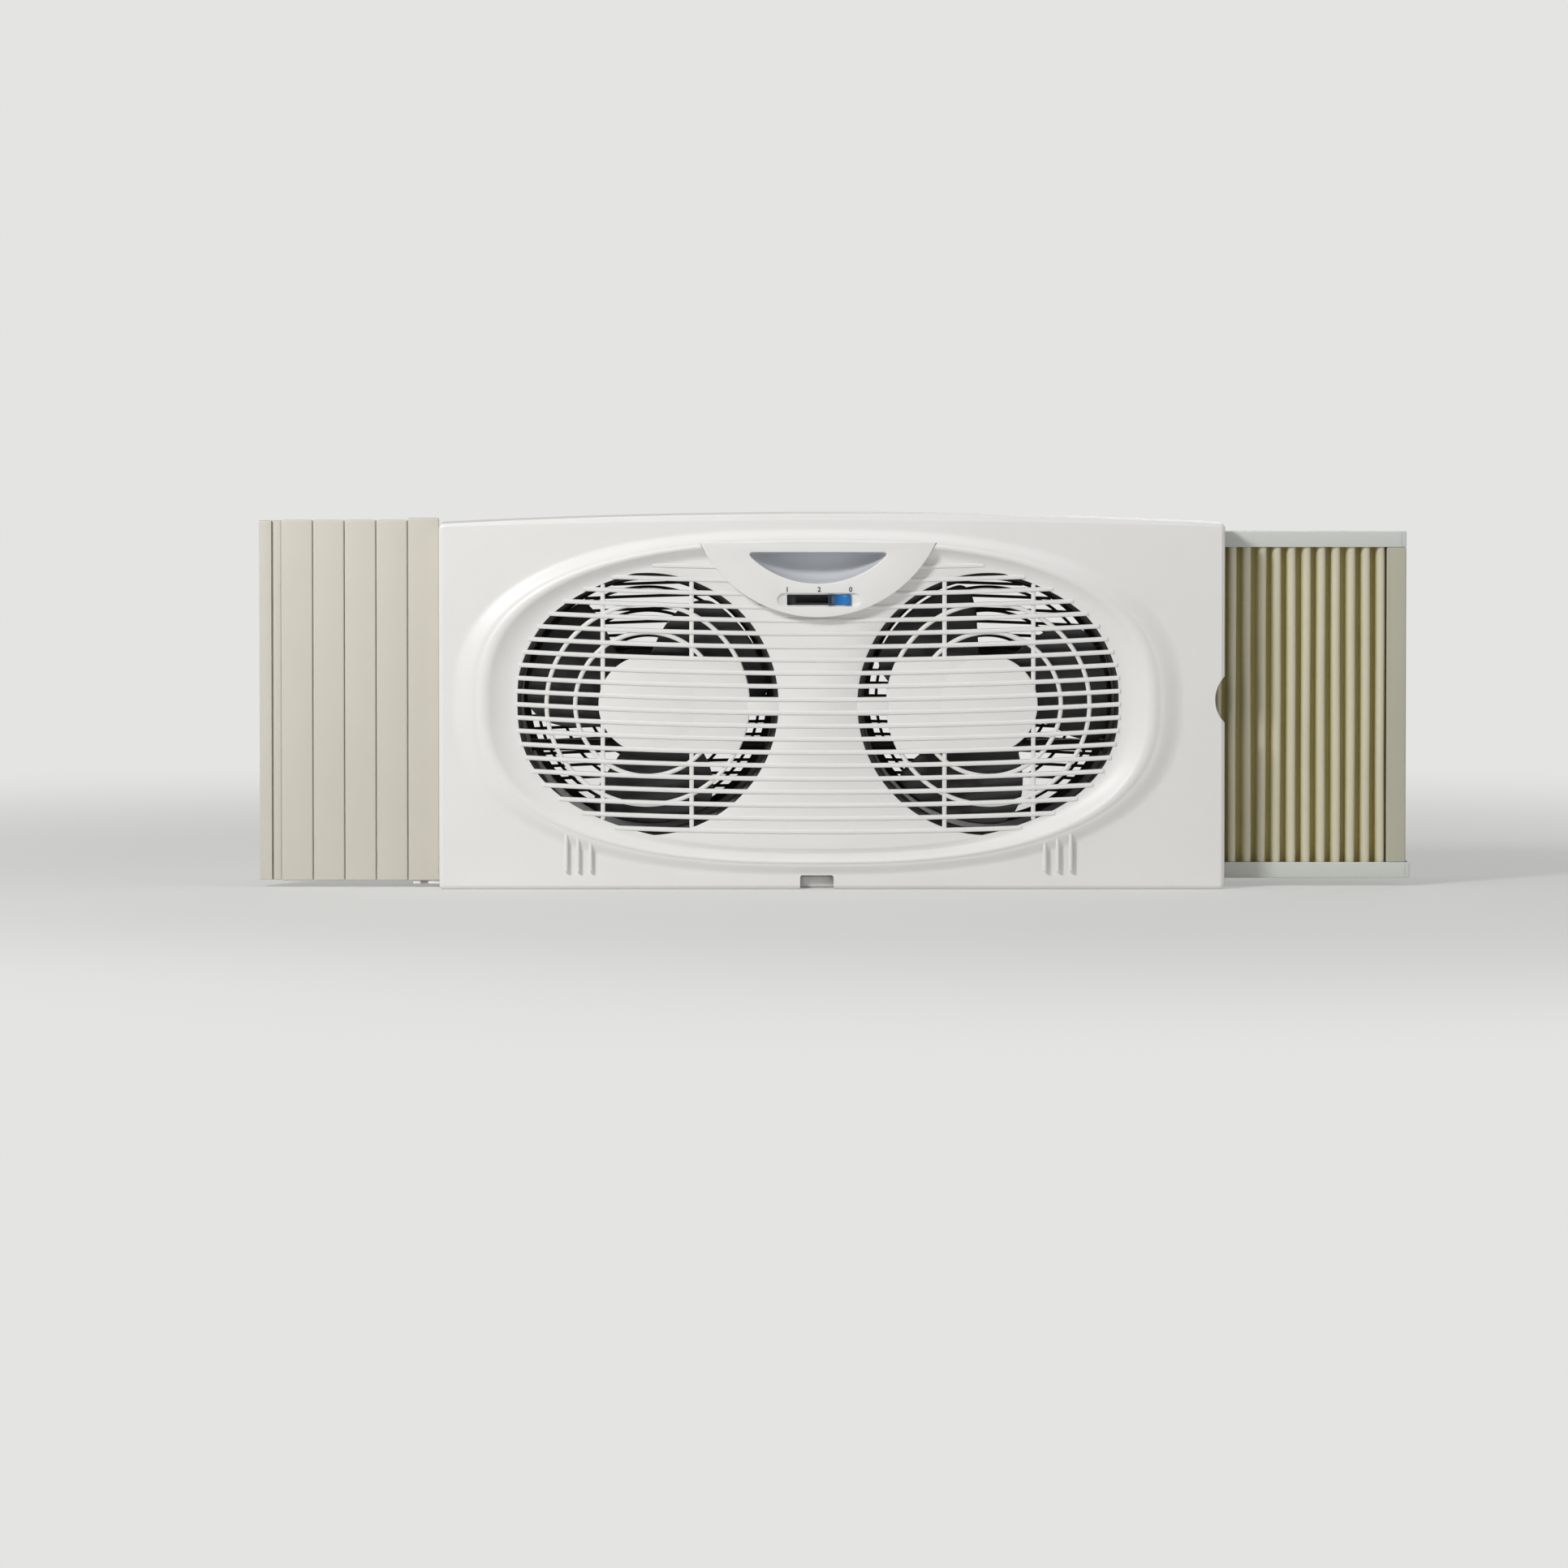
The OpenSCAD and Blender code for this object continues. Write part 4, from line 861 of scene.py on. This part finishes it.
def buildRail(name, low, end, opensUp, node):
    r = rails
    top = low + r["height"]
    floorZ = (low + r["floor"], top + 3) if opensUp else (low - 3, top - r["floor"])
    hollow = block((r["start"] - 3, r["front"] + r["wall"], floorZ[0]),
                   (end - r["wall"], r["back"] - r["wall"], floorZ[1]))
    joint = block((end - r["capJoint"][0], r["front"] - 1, low - 1),
                  (end - r["capJoint"][1], r["front"] + 0.3, top + 1))  # where the cap meets the channel
    bm = carve(block((r["start"], r["front"], low), (end, r["back"], top), 0.7), [hollow, joint])
    finishPiece(name, bm, railPvc, "expander", [node])


def buildStile():
    s, r = stile, rails
    body = block((s["left"], r["front"], s["low"] + 0.05), (s["right"], r["back"], s["high"] - 0.05), 1.1, 4)
    # the sheet's clamping strip lies a little lower along the inner edge
    step = block((s["left"] - 2, r["front"] - 2, s["low"] - 2),
                 (s["left"] + s["band"], r["front"] + s["step"], s["high"] + 2))
    core = block((s["left"] + 3, r["front"] + 5, s["low"] + 12),
                 (s["right"] - 2.4, r["back"] + 2, s["high"] - 12))
    bm = carve(body, [step, core])
    inset = s["tenonWall"]
    x0, x1, near, far = s["left"] + 1, s["right"] - inset, r["front"] + inset, r["back"] - inset
    for low, high in ((s["low"] - s["tenon"], s["low"] + s["tenonIn"]),
                      (s["high"] - s["tenonIn"], s["high"] + s["tenon"])):  # tenons in the rails
        roundedBox(bm, (x0, near, low), (x1, far, high), 0.5, 2)
    finishPiece("expander_stile_bar", bm, stileAbs, "expander", ["expander_stile"])


def pleatLine():  # x and depth along the sheet's front, fold by fold
    p = pleats
    deep, near = p["valley"], p["front"] + 0.02
    flank = (p["pitch"] - p["ridge"] - p["flat"]) / 2
    line = []
    for k in range(p["count"]):
        x0 = p["left"] + k * (p["right"] - p["left"]) / p["count"]
        line += [(x0, deep), (x0 + p["flat"] / 2, deep)]
        climb = [(p["flat"] / 2 + flank * (j / 6) ** 0.8, deep + (near + p["crown"] - deep) * smooth(j / 6))
                 for j in range(1, 6)]
        line += [(x0 + x, y) for x, y in climb]  # foot of the fold, flank and the ridge's shoulder
        line += [(x0 + p["flat"] / 2 + flank + j / 6 * p["ridge"], near + p["crown"] * abs(j / 3 - 1) ** 2.4)
                 for j in range(7)]  # rounded ridge
        line += [(x0 + p["pitch"] - x, y) for x, y in reversed(climb)]
        line.append((x0 + p["pitch"] - p["flat"] / 2, deep))
    line.append((p["right"], deep))
    return line


def buildPleats():
    p = pleats
    line = pleatLine()
    bm = bmesh.new()
    ops.create_grid(bm, x_segments=len(line) - 1, y_segments=p["rows"], size=0.5)
    for v in bm.verts:
        x, y = line[round((v.co.x + 0.5) * (len(line) - 1))]
        u = v.co.y + 0.5
        k = (x - p["left"]) // p["pitch"]
        near = (p["valley"] - y) / (p["valley"] - p["front"])  # folds wander a little, ridges most of all
        lean = p["lean"] + p["sway"] * sin(2.3 * k + 1) * (u - 0.5)
        lean += p["ripple"] * sin(5.1 * k + 5 * u) * sin(pi * u)
        if k == p["oddFold"]:  # one fold leans as a whole
            lean += p["oddLean"] * (u - 0.45)
        v.co = at(x + near * lean, y, between(p["low"], p["high"], u))
    ops.recalc_face_normals(bm, faces=bm.faces)
    bm.faces.ensure_lookup_table()
    if bm.faces[0].normal.y > 0:
        ops.reverse_faces(bm, faces=bm.faces)
    ops.solidify(bm, geom=bm.verts[:] + bm.edges[:] + bm.faces[:], thickness=p["sheet"] * mm)
    return finishPiece("expander_pleats_sheet", bm, pleatVinyl, "expander",
                       ["expander_pleats"], 60)


buildRail("expander_rail_upper", rails["topZ"], rails["topEnd"], False, "expander_rail_top")
buildRail("expander_rail_lower", rails["lowZ"], rails["lowEnd"], True, "expander_rail_bottom")
buildStile()
sheet = buildPleats()
print("expander built")


# left panel: five fields side by side on a backing, and the strip along its outer edge
fields = {"left": -399.7, "right": -282, "count": 5, "low": 4.8, "high": 273.9, "lastHigh": 275.5,
          "front": -24, "thick": 5, "back": -13, "gap": 0.5, "rounding": 1.3, "shrink": 0.6}
tabs = {"zs": (59.84, 190.4), "high": 20, "into": 6.3, "near": 4, "far": 9}
strip = {"left": -416, "front": -22, "back": -14, "low": 5.4, "high": 273.3,
         "groove": (-407.1, -405.6), "grooveDeep": 3, "lip": 0.35}


def buildSidePanel():
    f, t = fields, tabs
    bm = bmesh.new()
    width, last = (f["right"] - f["left"]) / f["count"], f["count"] - 1
    for k in range(f["count"]):
        left = f["left"] + k * width + (f["gap"] / 2 if k else 0)
        right = f["right"] if k == last else f["left"] + (k + 1) * width - f["gap"] / 2
        top = f["lastHigh" if k == last else "high"]
        roundedBox(bm, (left, f["front"], f["low"]), (right, f["front"] + f["thick"], top), f["rounding"], 5)
    roundedBox(bm, (f["left"] + 0.3, f["front"] + 3, f["low"] + f["shrink"]),
               (f["right"] - 0.3, f["back"], f["high"] - f["shrink"]), 0.5, 2)
    for z in t["zs"]:  # tabs that hook into the shell's side
        roundedBox(bm, (f["right"] - 2, f["front"] + t["near"], z),
                   (f["right"] + t["into"], f["front"] + t["far"], z + t["high"]), 0.5, 2)
    finishPiece("side_panel_fields", bm, creamPvc, "housing", ["side_panel"])


def buildStrip():
    e = strip
    left, right = e["groove"]
    groove = block((left, e["front"] - 2, e["low"] - 2),
                   (right, e["front"] + e["grooveDeep"], e["high"] + 2))
    body = block((e["left"], e["front"], e["low"]), (fields["left"] - 0.02, e["back"], e["high"]), 0.8, 4)
    bm = carve(body, [groove])
    lips = [d for d in bm.edges if abs(d.verts[0].co.x - d.verts[1].co.x) < 1e-6
            and max(v.co.y for v in d.verts) < (e["front"] + 0.01) * mm
            and min(abs(d.verts[0].co.x / mm - x) for x in e["groove"]) < 0.01]
    ease(bm, lips, e["lip"], 3)
    finishPiece("side_panel_strip", bm, creamPvc, "housing", ["side_panel_edge"])


buildSidePanel()
buildStrip()
print("left panel built")


# impellers: three cambered blades on a hollow hub
wheel = {"hub": 34, "front": -31, "back": -4, "wall": 2.2, "round": 4, "boss": 8, "bore": 5.1,
         "mid": -23, "pitch": 16, "camber": 200, "thick": 2.2, "tip": 90, "root": 31.5, "corner": 8,
         "tipSpan": 6, "tipRound": 1.1, "twist": 9, "phase": {"left": 22, "right": 0}, "blades": 3,
         "lead": [(31, 68), (44.5, 60.6), (52, 58), (63, 54), (74, 49.4), (82, 44.5), (90, 39.5)],
         "trail": [(31, -19), (50, -21), (67, -22.7), (80, -21.5), (90, -20)]}
webs = {"count": 6, "first": 30, "half": 0.7, "start": 7.5}


def joinTurned(bm, profile, x, steps, closed=True):  # a turned part about one fan's axis
    joinInto(bm, turned(profile, x, grille["fanZ"], steps, closed))


def along(pairs, place):  # straight lines between pairs
    for (a, p), (b, q) in zip(pairs, pairs[1:]):
        if place <= b:
            return p + (q - p) * (place - a) / (b - a)
    return pairs[-1][1]


def bladeRing(r, x, turn):  # section of the blade at one radius, round both faces
    w, count = wheel, 22
    over = max(0, r - (w["tip"] - w["corner"]))
    short = degrees((w["corner"] - sqrt(max(0, w["corner"] ** 2 - over ** 2))) / r)
    lead, trail = along(w["lead"], r) - short, along(w["trail"], r) + short
    edge = max(0, r - w["tip"] + w["tipRound"]) / w["tipRound"]  # the tip's edge is rounded too
    slim = w["thick"] / 2 * sqrt(max(0.02, 1 - edge ** 2))
    points = []
    for k in range(2 * count):
        side = 1 if k < count else -1
        u = (k % count + 0.5) / count
        u = 0.5 - 0.5 * side * cos(pi * u)
        half = slim * sqrt(max(0, 1 - abs(2 * u - 1) ** 60))
        angle = radians(between(lead, trail, u))
        across = r * sin(angle - radians(w["twist"]))
        y = (w["mid"] + across ** 2 / (2 * w["camber"]) * cos(radians(w["pitch"]))
             - across * sin(radians(w["pitch"])) - side * half)
        spot = angle + radians(turn)
        points.append(at(x + r * cos(spot), y, grille["fanZ"] + r * sin(spot)))
    return points


def buildBlade(bm, x, turn):
    start, end, span = wheel["root"], wheel["tip"] - wheel["tipSpan"], wheel["tipSpan"]
    radii = [start + (end - start) * k / 18 for k in range(19)]
    radii += [end + span * sin(pi / 2 * k / 7) for k in range(1, 8)]
    blade = bmesh.new()
    ringLoft(blade, [bladeRing(r, x, turn) for r in radii])
    fillHoles(blade)
    joinInto(bm, blade)


def buildImpeller(side, x):
    w, front, back = wheel, wheel["front"], wheel["back"]
    bm = bmesh.new()
    hub, inner, flat = w["hub"], w["hub"] - w["wall"], w["hub"] - w["round"]
    profile = [(w["boss"], front), (flat, front)]
    profile += [(flat + w["round"] * q, front + w["round"] * (1 - p)) for p, q in quarter(6)[1:]]
    profile += [(hub, back - 0.5), (hub - 0.5, back), (inner + 0.5, back), (inner, back - 0.5),
                (inner, front + 6), (hub - 5, front + 2.6), (w["boss"], front + 2.2), (w["boss"], back - 2),
                (w["bore"], back - 2), (w["bore"], front), (w["boss"] - 0.8, front)]
    joinTurned(bm, profile, x, 120)
    for k in range(w["blades"]):
        buildBlade(bm, x, w["phase"][side] + 360 * k / w["blades"])
    for k in range(webs["count"]):  # stiffening webs inside the hub
        web = block((webs["start"], front + 2, -webs["half"]), (hub - 1.5, back - 3, webs["half"]), 0.3, 2)
        swing = Matrix.Rotation(radians(webs["first"] + 360 * k / webs["count"]), 3, "Y")
        ops.rotate(web, verts=web.verts, cent=(0, 0, 0), matrix=swing)
        ops.translate(web, verts=web.verts, vec=at(x, 0, grille["fanZ"]))
        joinInto(bm, web)
    finishPiece("impeller_wheel_" + side, bm, bladePp, side + "_impeller",
                ["impeller_" + side])


# shrouds: a rolled mouth, a straight tube and a flange, with the struts that carry the motor
duct = {"radius": 93.5, "wall": 2, "front": -38, "lip": 4.5, "flange": 105.5, "flangeThick": 2.6,
        "back": 47.4, "strutZ": (37, -33), "strutHalf": 4, "strutBack": 14, "hollow": 3.4, "corner": 0.7,
        "plate": 41, "plateHole": 10.2, "plateFront": 2, "plateBack": 5, "bead": (30, 39.2), "motor": 31.4}


def buildShroud(side, x):
    d = duct
    bm = bmesh.new()
    lipY, back, outer = d["front"] + d["lip"], d["back"], d["radius"] + d["wall"]
    inner = d["lip"] - d["wall"]
    profile = [(d["radius"], back)]
    profile += [(d["radius"] + d["lip"] * (1 - p), lipY - d["lip"] * q) for p, q in quarter(8)]
    profile += [(d["radius"] + d["lip"] - inner * p, lipY - inner * q) for p, q in reversed(quarter(8))]
    edge, seat = d["flange"], back - d["flangeThick"]
    profile += [(outer, back - 4), (outer + 1.4, seat), (edge - 0.6, seat), (edge, back - 2), (edge, back)]
    joinTurned(bm, profile, x, 144)
    h, c = d["strutHalf"], d["corner"]
    for off in d["strutZ"]:  # their fronts are hollowed
        z = grille["fanZ"] + off
        section = [(d["strutBack"], z - h), (c, z - h), (0.2, z - h + 0.3)]
        section += [(d["hollow"] * sin(pi * k / 10), z - h + c + 2 * (h - c) * k / 10) for k in range(11)]
        section += [(0.2, z + h - 0.3), (c, z + h), (d["strutBack"], z + h)]
        half = sqrt(d["radius"] ** 2 - (abs(off) + h) ** 2) + 1.6
        space = [(d["motor"], d["plateBack"]), (d["motor"], d["strutBack"] + 3)]  # for the motor
        joinInto(bm, carve(bar(section, x - half, x + half), [turned(space, x, grille["fanZ"], 96)]))
    hole, rim, front = d["plateHole"], d["plate"], d["plateFront"]
    start, end = d["bead"]
    plate = [(hole, front + 0.4), (hole + 0.4, front), (start, front), (start + 1, front + 0.5),
             (end - 0.7, front + 0.5), (end, front), (rim - 0.6, front), (rim, front + 0.6),
             (rim, d["plateBack"]), (hole, d["plateBack"])]
    joinTurned(bm, plate, x, 120)
    finishPiece("fan_duct_" + side, bm, charcoalPp, "housing", ["fan_shroud_" + side])


# rear grilles: rim, three rings, drooping bars and a dished middle
guard = {"near": 48.4, "far": 51, "rim": 93.5, "rimWide": 5, "rings": (0.5, 0.7, 0.89), "bar": 2.2,
         "pitch": 9.6, "rows": 9, "sag": 3900, "disc": 28.2}


def roundRing(radius, wide, near, far):  # section of a ring with all four edges rounded
    r0, r1, e = radius - wide / 2, radius + wide / 2, 0.32 * min(wide, far - near)
    section = []
    for cx, cy, sx, sy in ((r1 - e, near + e, 1, -1), (r0 + e, near + e, -1, -1),
                           (r0 + e, far - e, -1, 1), (r1 - e, far - e, 1, 1)):
        turns = quarter(3)[::-1] if sx * sy > 0 else quarter(3)
        section += [(cx + sx * e * p, cy + sy * e * q) for p, q in turns]
    return section


def buildGuard(side, x):
    g, near, far = guard, guard["near"], guard["far"]
    bm = bmesh.new()
    joinTurned(bm, roundRing(g["rim"] - g["rimWide"] / 2, g["rimWide"], near, far), x, 144)
    for share in g["rings"]:
        joinTurned(bm, roundRing(share * g["rim"], g["bar"], near, far), x, 120)
    middle = grille["fanZ"] + (g["rim"] ** 2 + x * x) / (4 * g["sag"])
    for k in range(-g["rows"], g["rows"] + 1):
        half = sqrt((g["rim"] - 2) ** 2 - (abs(k) * g["pitch"] + g["bar"] / 2) ** 2)
        z = middle + k * g["pitch"]
        arcBar(bm, x - half, x + half, z, -g["sag"], far - 0.1, near + 0.1, g["bar"], 16)
    r = g["disc"]
    dish = [(0.01, far - 0.9), (18, far - 0.8), (24, far - 0.1), (r - 0.7, far), (r - 0.2, far - 0.2),
            (r, far - 0.7), (r, near + 0.4), (r - 0.4, near), (0.01, near)]
    joinTurned(bm, dish, x, 96, closed=False)
    finishPiece("rear_guard_" + side, bm, weatheredPp, "housing", ["rear_grille_" + side])


# rear shell: a tray with soft back edges, screw posts and two rebated rounds
tray = {"left": -279.7, "right": 300.3, "height": 270, "front": -12, "back": 50, "floor": 47.4, "wall": 2.6,
        "corner": 6, "edge": 3, "postR": 5.6, "bore": 1.6, "counter": 3.4, "counterDeep": 6, "ease": 0.4,
        "posts": [(-259.7, 22), (-259.7, 250), (0, 18.5), (0, 259.5), (252.23, 59.4), (252.23, 213.3)],
        "round": 90.5, "rebate": 93.8, "rebateDeep": 1.6, "gland": (-241.7, 30), "glandR": 5.3,
        "baffle": (260.8, 263.2), "baffleFront": 13}
shellScrew = {"head": 45.8, "neck": 44, "tip": -24, "headR": 3.05, "shankR": 1.55}


def trayRing(inset, y):
    t = tray
    r = max(0.8, t["corner"] - inset)
    x0, x1, z0, z1 = t["left"] + inset + r, t["right"] - inset - r, inset + r, t["height"] - inset - r
    points = []
    for turn, (cx, cz) in enumerate(((x1, z1), (x0, z1), (x0, z0), (x1, z0))):
        for k in range(8):
            a = pi / 2 * (turn + k / 7)
            points.append(at(cx + r * cos(a), y, cz + r * sin(a)))
    return points


def buildTray():
    t, wall, front, back, e = tray, tray["wall"], tray["front"], tray["back"], tray["ease"]
    bm = bmesh.new()
    steps = [(wall, t["floor"]), (wall, front + e), (wall - e, front), (e, front), (0, front + e),
             (0, back - t["edge"])]
    rings = [trayRing(inset, y) for inset, y in steps]
    rings += [trayRing(t["edge"] * (1 - p), back - t["edge"] * (1 - q)) for p, q in quarter(6)[1:]]
    ringLoft(bm, rings)
    fillHoles(bm)
    deep, lap, head = back - t["rebateDeep"], t["rebate"], t["counter"]
    opening = [(t["round"], t["floor"] - 3), (t["round"], deep), (lap, deep), (lap, back - e),
               (lap + e, back), (lap + e, back + 3)]
    counter = [(head, back - t["counterDeep"]), (head, back - e), (head + e, back), (head + e, back + 3)]
    cuts = [turned(opening, x, grille["fanZ"], 144) for x in (-grille["fanX"], grille["fanX"])]
    cuts += [turned(counter, x, z, 32) for x, z in t["posts"]]
    cuts.append(turned([(t["glandR"], t["floor"] - 3), (t["glandR"], back + 3)], *t["gland"], 40))
    railsTop = rails["topZ"] + rails["height"]
    cuts.append(block((t["right"] - wall - 3, front - 3, rails["lowZ"] - 1),
                      (t["right"] + 3, rails["back"] + 1, railsTop + 1)))  # where the rails pass
    bm = carve(bm, cuts)
    seat, r = back - t["counterDeep"], t["postR"]
    post = [(r, seat), (r - 0.3, front + 0.3), (r - 0.6, front), (t["bore"], front), (t["bore"], seat)]
    for x, z in t["posts"]:
        joinInto(bm, turned(post, x, z, 40, closed=True))
    roundedBox(bm, (t["baffle"][0], t["baffleFront"], wall - 0.5),
               (t["baffle"][1], t["floor"] + 0.5, t["height"] - wall + 0.5), 0.3, 2)
    finishPiece("rear_shell_tray", bm, charcoalPp, "housing", ["rear_shell"])


for side, x in (("left", -grille["fanX"]), ("right", grille["fanX"])):
    buildImpeller(side, x)
    buildShroud(side, x)
    buildGuard(side, x)
buildTray()
buildScrews("shell_screw_set", tray["posts"], shellScrew, "shell_screws")
print("fans and rear shell built")


# plain moulded and turned parts: copies of the CAD meshes with their edges eased
def softened(name, material, width, segments=2):
    node = frame["nodes"][name]
    bm = bmesh.new()
    bm.from_mesh(node.data)
    bm.transform(node.matrix_world)
    ops.remove_doubles(bm, verts=bm.verts, dist=1e-6)
    ops.dissolve_limit(bm, angle_limit=radians(1.5), verts=bm.verts, edges=bm.edges)
    sharp = [e for e in bm.edges if len(e.link_faces) == 2 and e.calc_face_angle(0) > radians(35)]
    ease(bm, sharp, width, segments)
    finishPiece(name + "_eased", bm, material, node["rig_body"], [name])


easings = {"panel_clip": (whiteAbs, 0.5), "cord_inlet": (blackAbs, 0.4), "pleat_anchor": (creamPvc, 0.3),
           "switch_track": (blackAbs, 0.3), "switch_body": (blackAbs, 0.3), "switch_link": (blackAbs, 0.3),
           "expander_guide_top": (nylonNatural, 0.35), "expander_guide_bottom": (nylonNatural, 0.35)}
motorEasings = {"motor_front_bell_": (bellSteel, 0.8, 3), "motor_rear_bell_": (bellSteel, 0.8, 3),
                "motor_windings_": (coilCopper, 2, 4), "motor_bushes_": (bushBronze, 0.3),
                "impeller_nut_": (zincSteel, 0.5)}
for side in ("left", "right"):
    easings.update({name + side: how for name, how in motorEasings.items()})
for name, how in easings.items():
    softened(name, *how)
print("plain parts eased")


# the CAD nodes that stay as they are
wear("motor_bolts", zincSteel)
for side in ("left", "right"):
    wear("motor_stator_" + side, coreSteel)
    wear("rotor_" + side, coreSteel)
    wear("shaft_" + side, shaftSteel)


# floor, backdrop and soft studio light; places and sizes here are metres
stage = {"grey": "e4e4e2", "paper": "a8a8a6", "ambient": 0.2, "floorLift": 0.4, "floorR": 14,
         "fadeFrom": 0.5, "fadeTo": 1.6, "aim": (0, 0, 0.13)}
lamps = {"key": ((0.6, 0.5), 46, (-1.5, -1.9, 1.6)), "fill": ((1.6, 1.2), 8, (2.2, -2.0, 0.5)),
         "top": ((2.0, 0.6), 8, (0, -0.3, 1.9)), "window": ((2.2, 1.2), 26, (1.2, 3.2, 1.5))}
room = bpy.data.worlds.new("room")
bpy.context.scene.world = room
room.use_nodes = True
tree = room.node_tree
tree.nodes.clear()
path = add(tree, "LightPath")
seen = add(tree, "Math", operation="MAXIMUM",
           links={0: path.outputs["Is Camera Ray"], 1: path.outputs["Is Transmission Ray"]})
plain = add(tree, "Background", {"Color": (1, 1, 1, 1), "Strength": stage["ambient"]})
backdrop = add(tree, "Background", {"Color": linear(stage["grey"]), "Strength": 1})
mixed = add(tree, "MixShader", links={0: seen, 1: plain, 2: backdrop})
add(tree, "OutputWorld", links={"Surface": mixed})

bm = bmesh.new()
ops.create_circle(bm, cap_ends=True, radius=stage["floorR"], segments=64)
floorMesh = bpy.data.meshes.new("floor")
bm.to_mesh(floorMesh)
bm.free()
floor = addObject("floor", floorMesh)
# paper sweep: matt, and it fades into the backdrop away from the object
floorPaint, tree, place = newMaterial("floorPaper")
away = add(tree, "VectorMath", operation="LENGTH", links={0: place})
fade = add(tree, "MapRange", {"From Min": stage["fadeFrom"], "From Max": stage["fadeTo"]},
           {"Value": away.outputs["Value"]}, interpolation_type="SMOOTHSTEP")
path = add(tree, "LightPath")
paper = add(tree, "BsdfDiffuse", {"Color": linear(stage["paper"])})
glow = add(tree, "Emission", {"Color": linear(stage["grey"]), "Strength": stage["floorLift"]})
lifted = add(tree, "AddShader", links={0: paper, 1: glow})
plainLight = add(tree, "Emission", {"Color": linear(stage["grey"]), "Strength": 1})
shown = add(tree, "MixShader", links={0: fade, 1: lifted, 2: plainLight})
bounce = add(tree, "BsdfDiffuse", {"Color": linear(stage["grey"])})  # for the light it throws up
finishMaterial(tree, add(tree, "MixShader", links={0: path.outputs["Is Camera Ray"], 1: bounce, 2: shown}))
floorMesh.materials.append(floorPaint)

for name, (size, power, place) in lamps.items():
    light = bpy.data.lights.new(name, "AREA")
    light.shape, light.size, light.size_y, light.energy = "RECTANGLE", size[0], size[1], power
    lamp = addObject(name, light)
    lamp.location = place
    lamp.rotation_euler = (Vector(stage["aim"]) - Vector(place)).to_track_quat("-Z", "Y").to_euler()
print("stage lit")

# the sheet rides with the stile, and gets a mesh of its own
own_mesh(sheet)
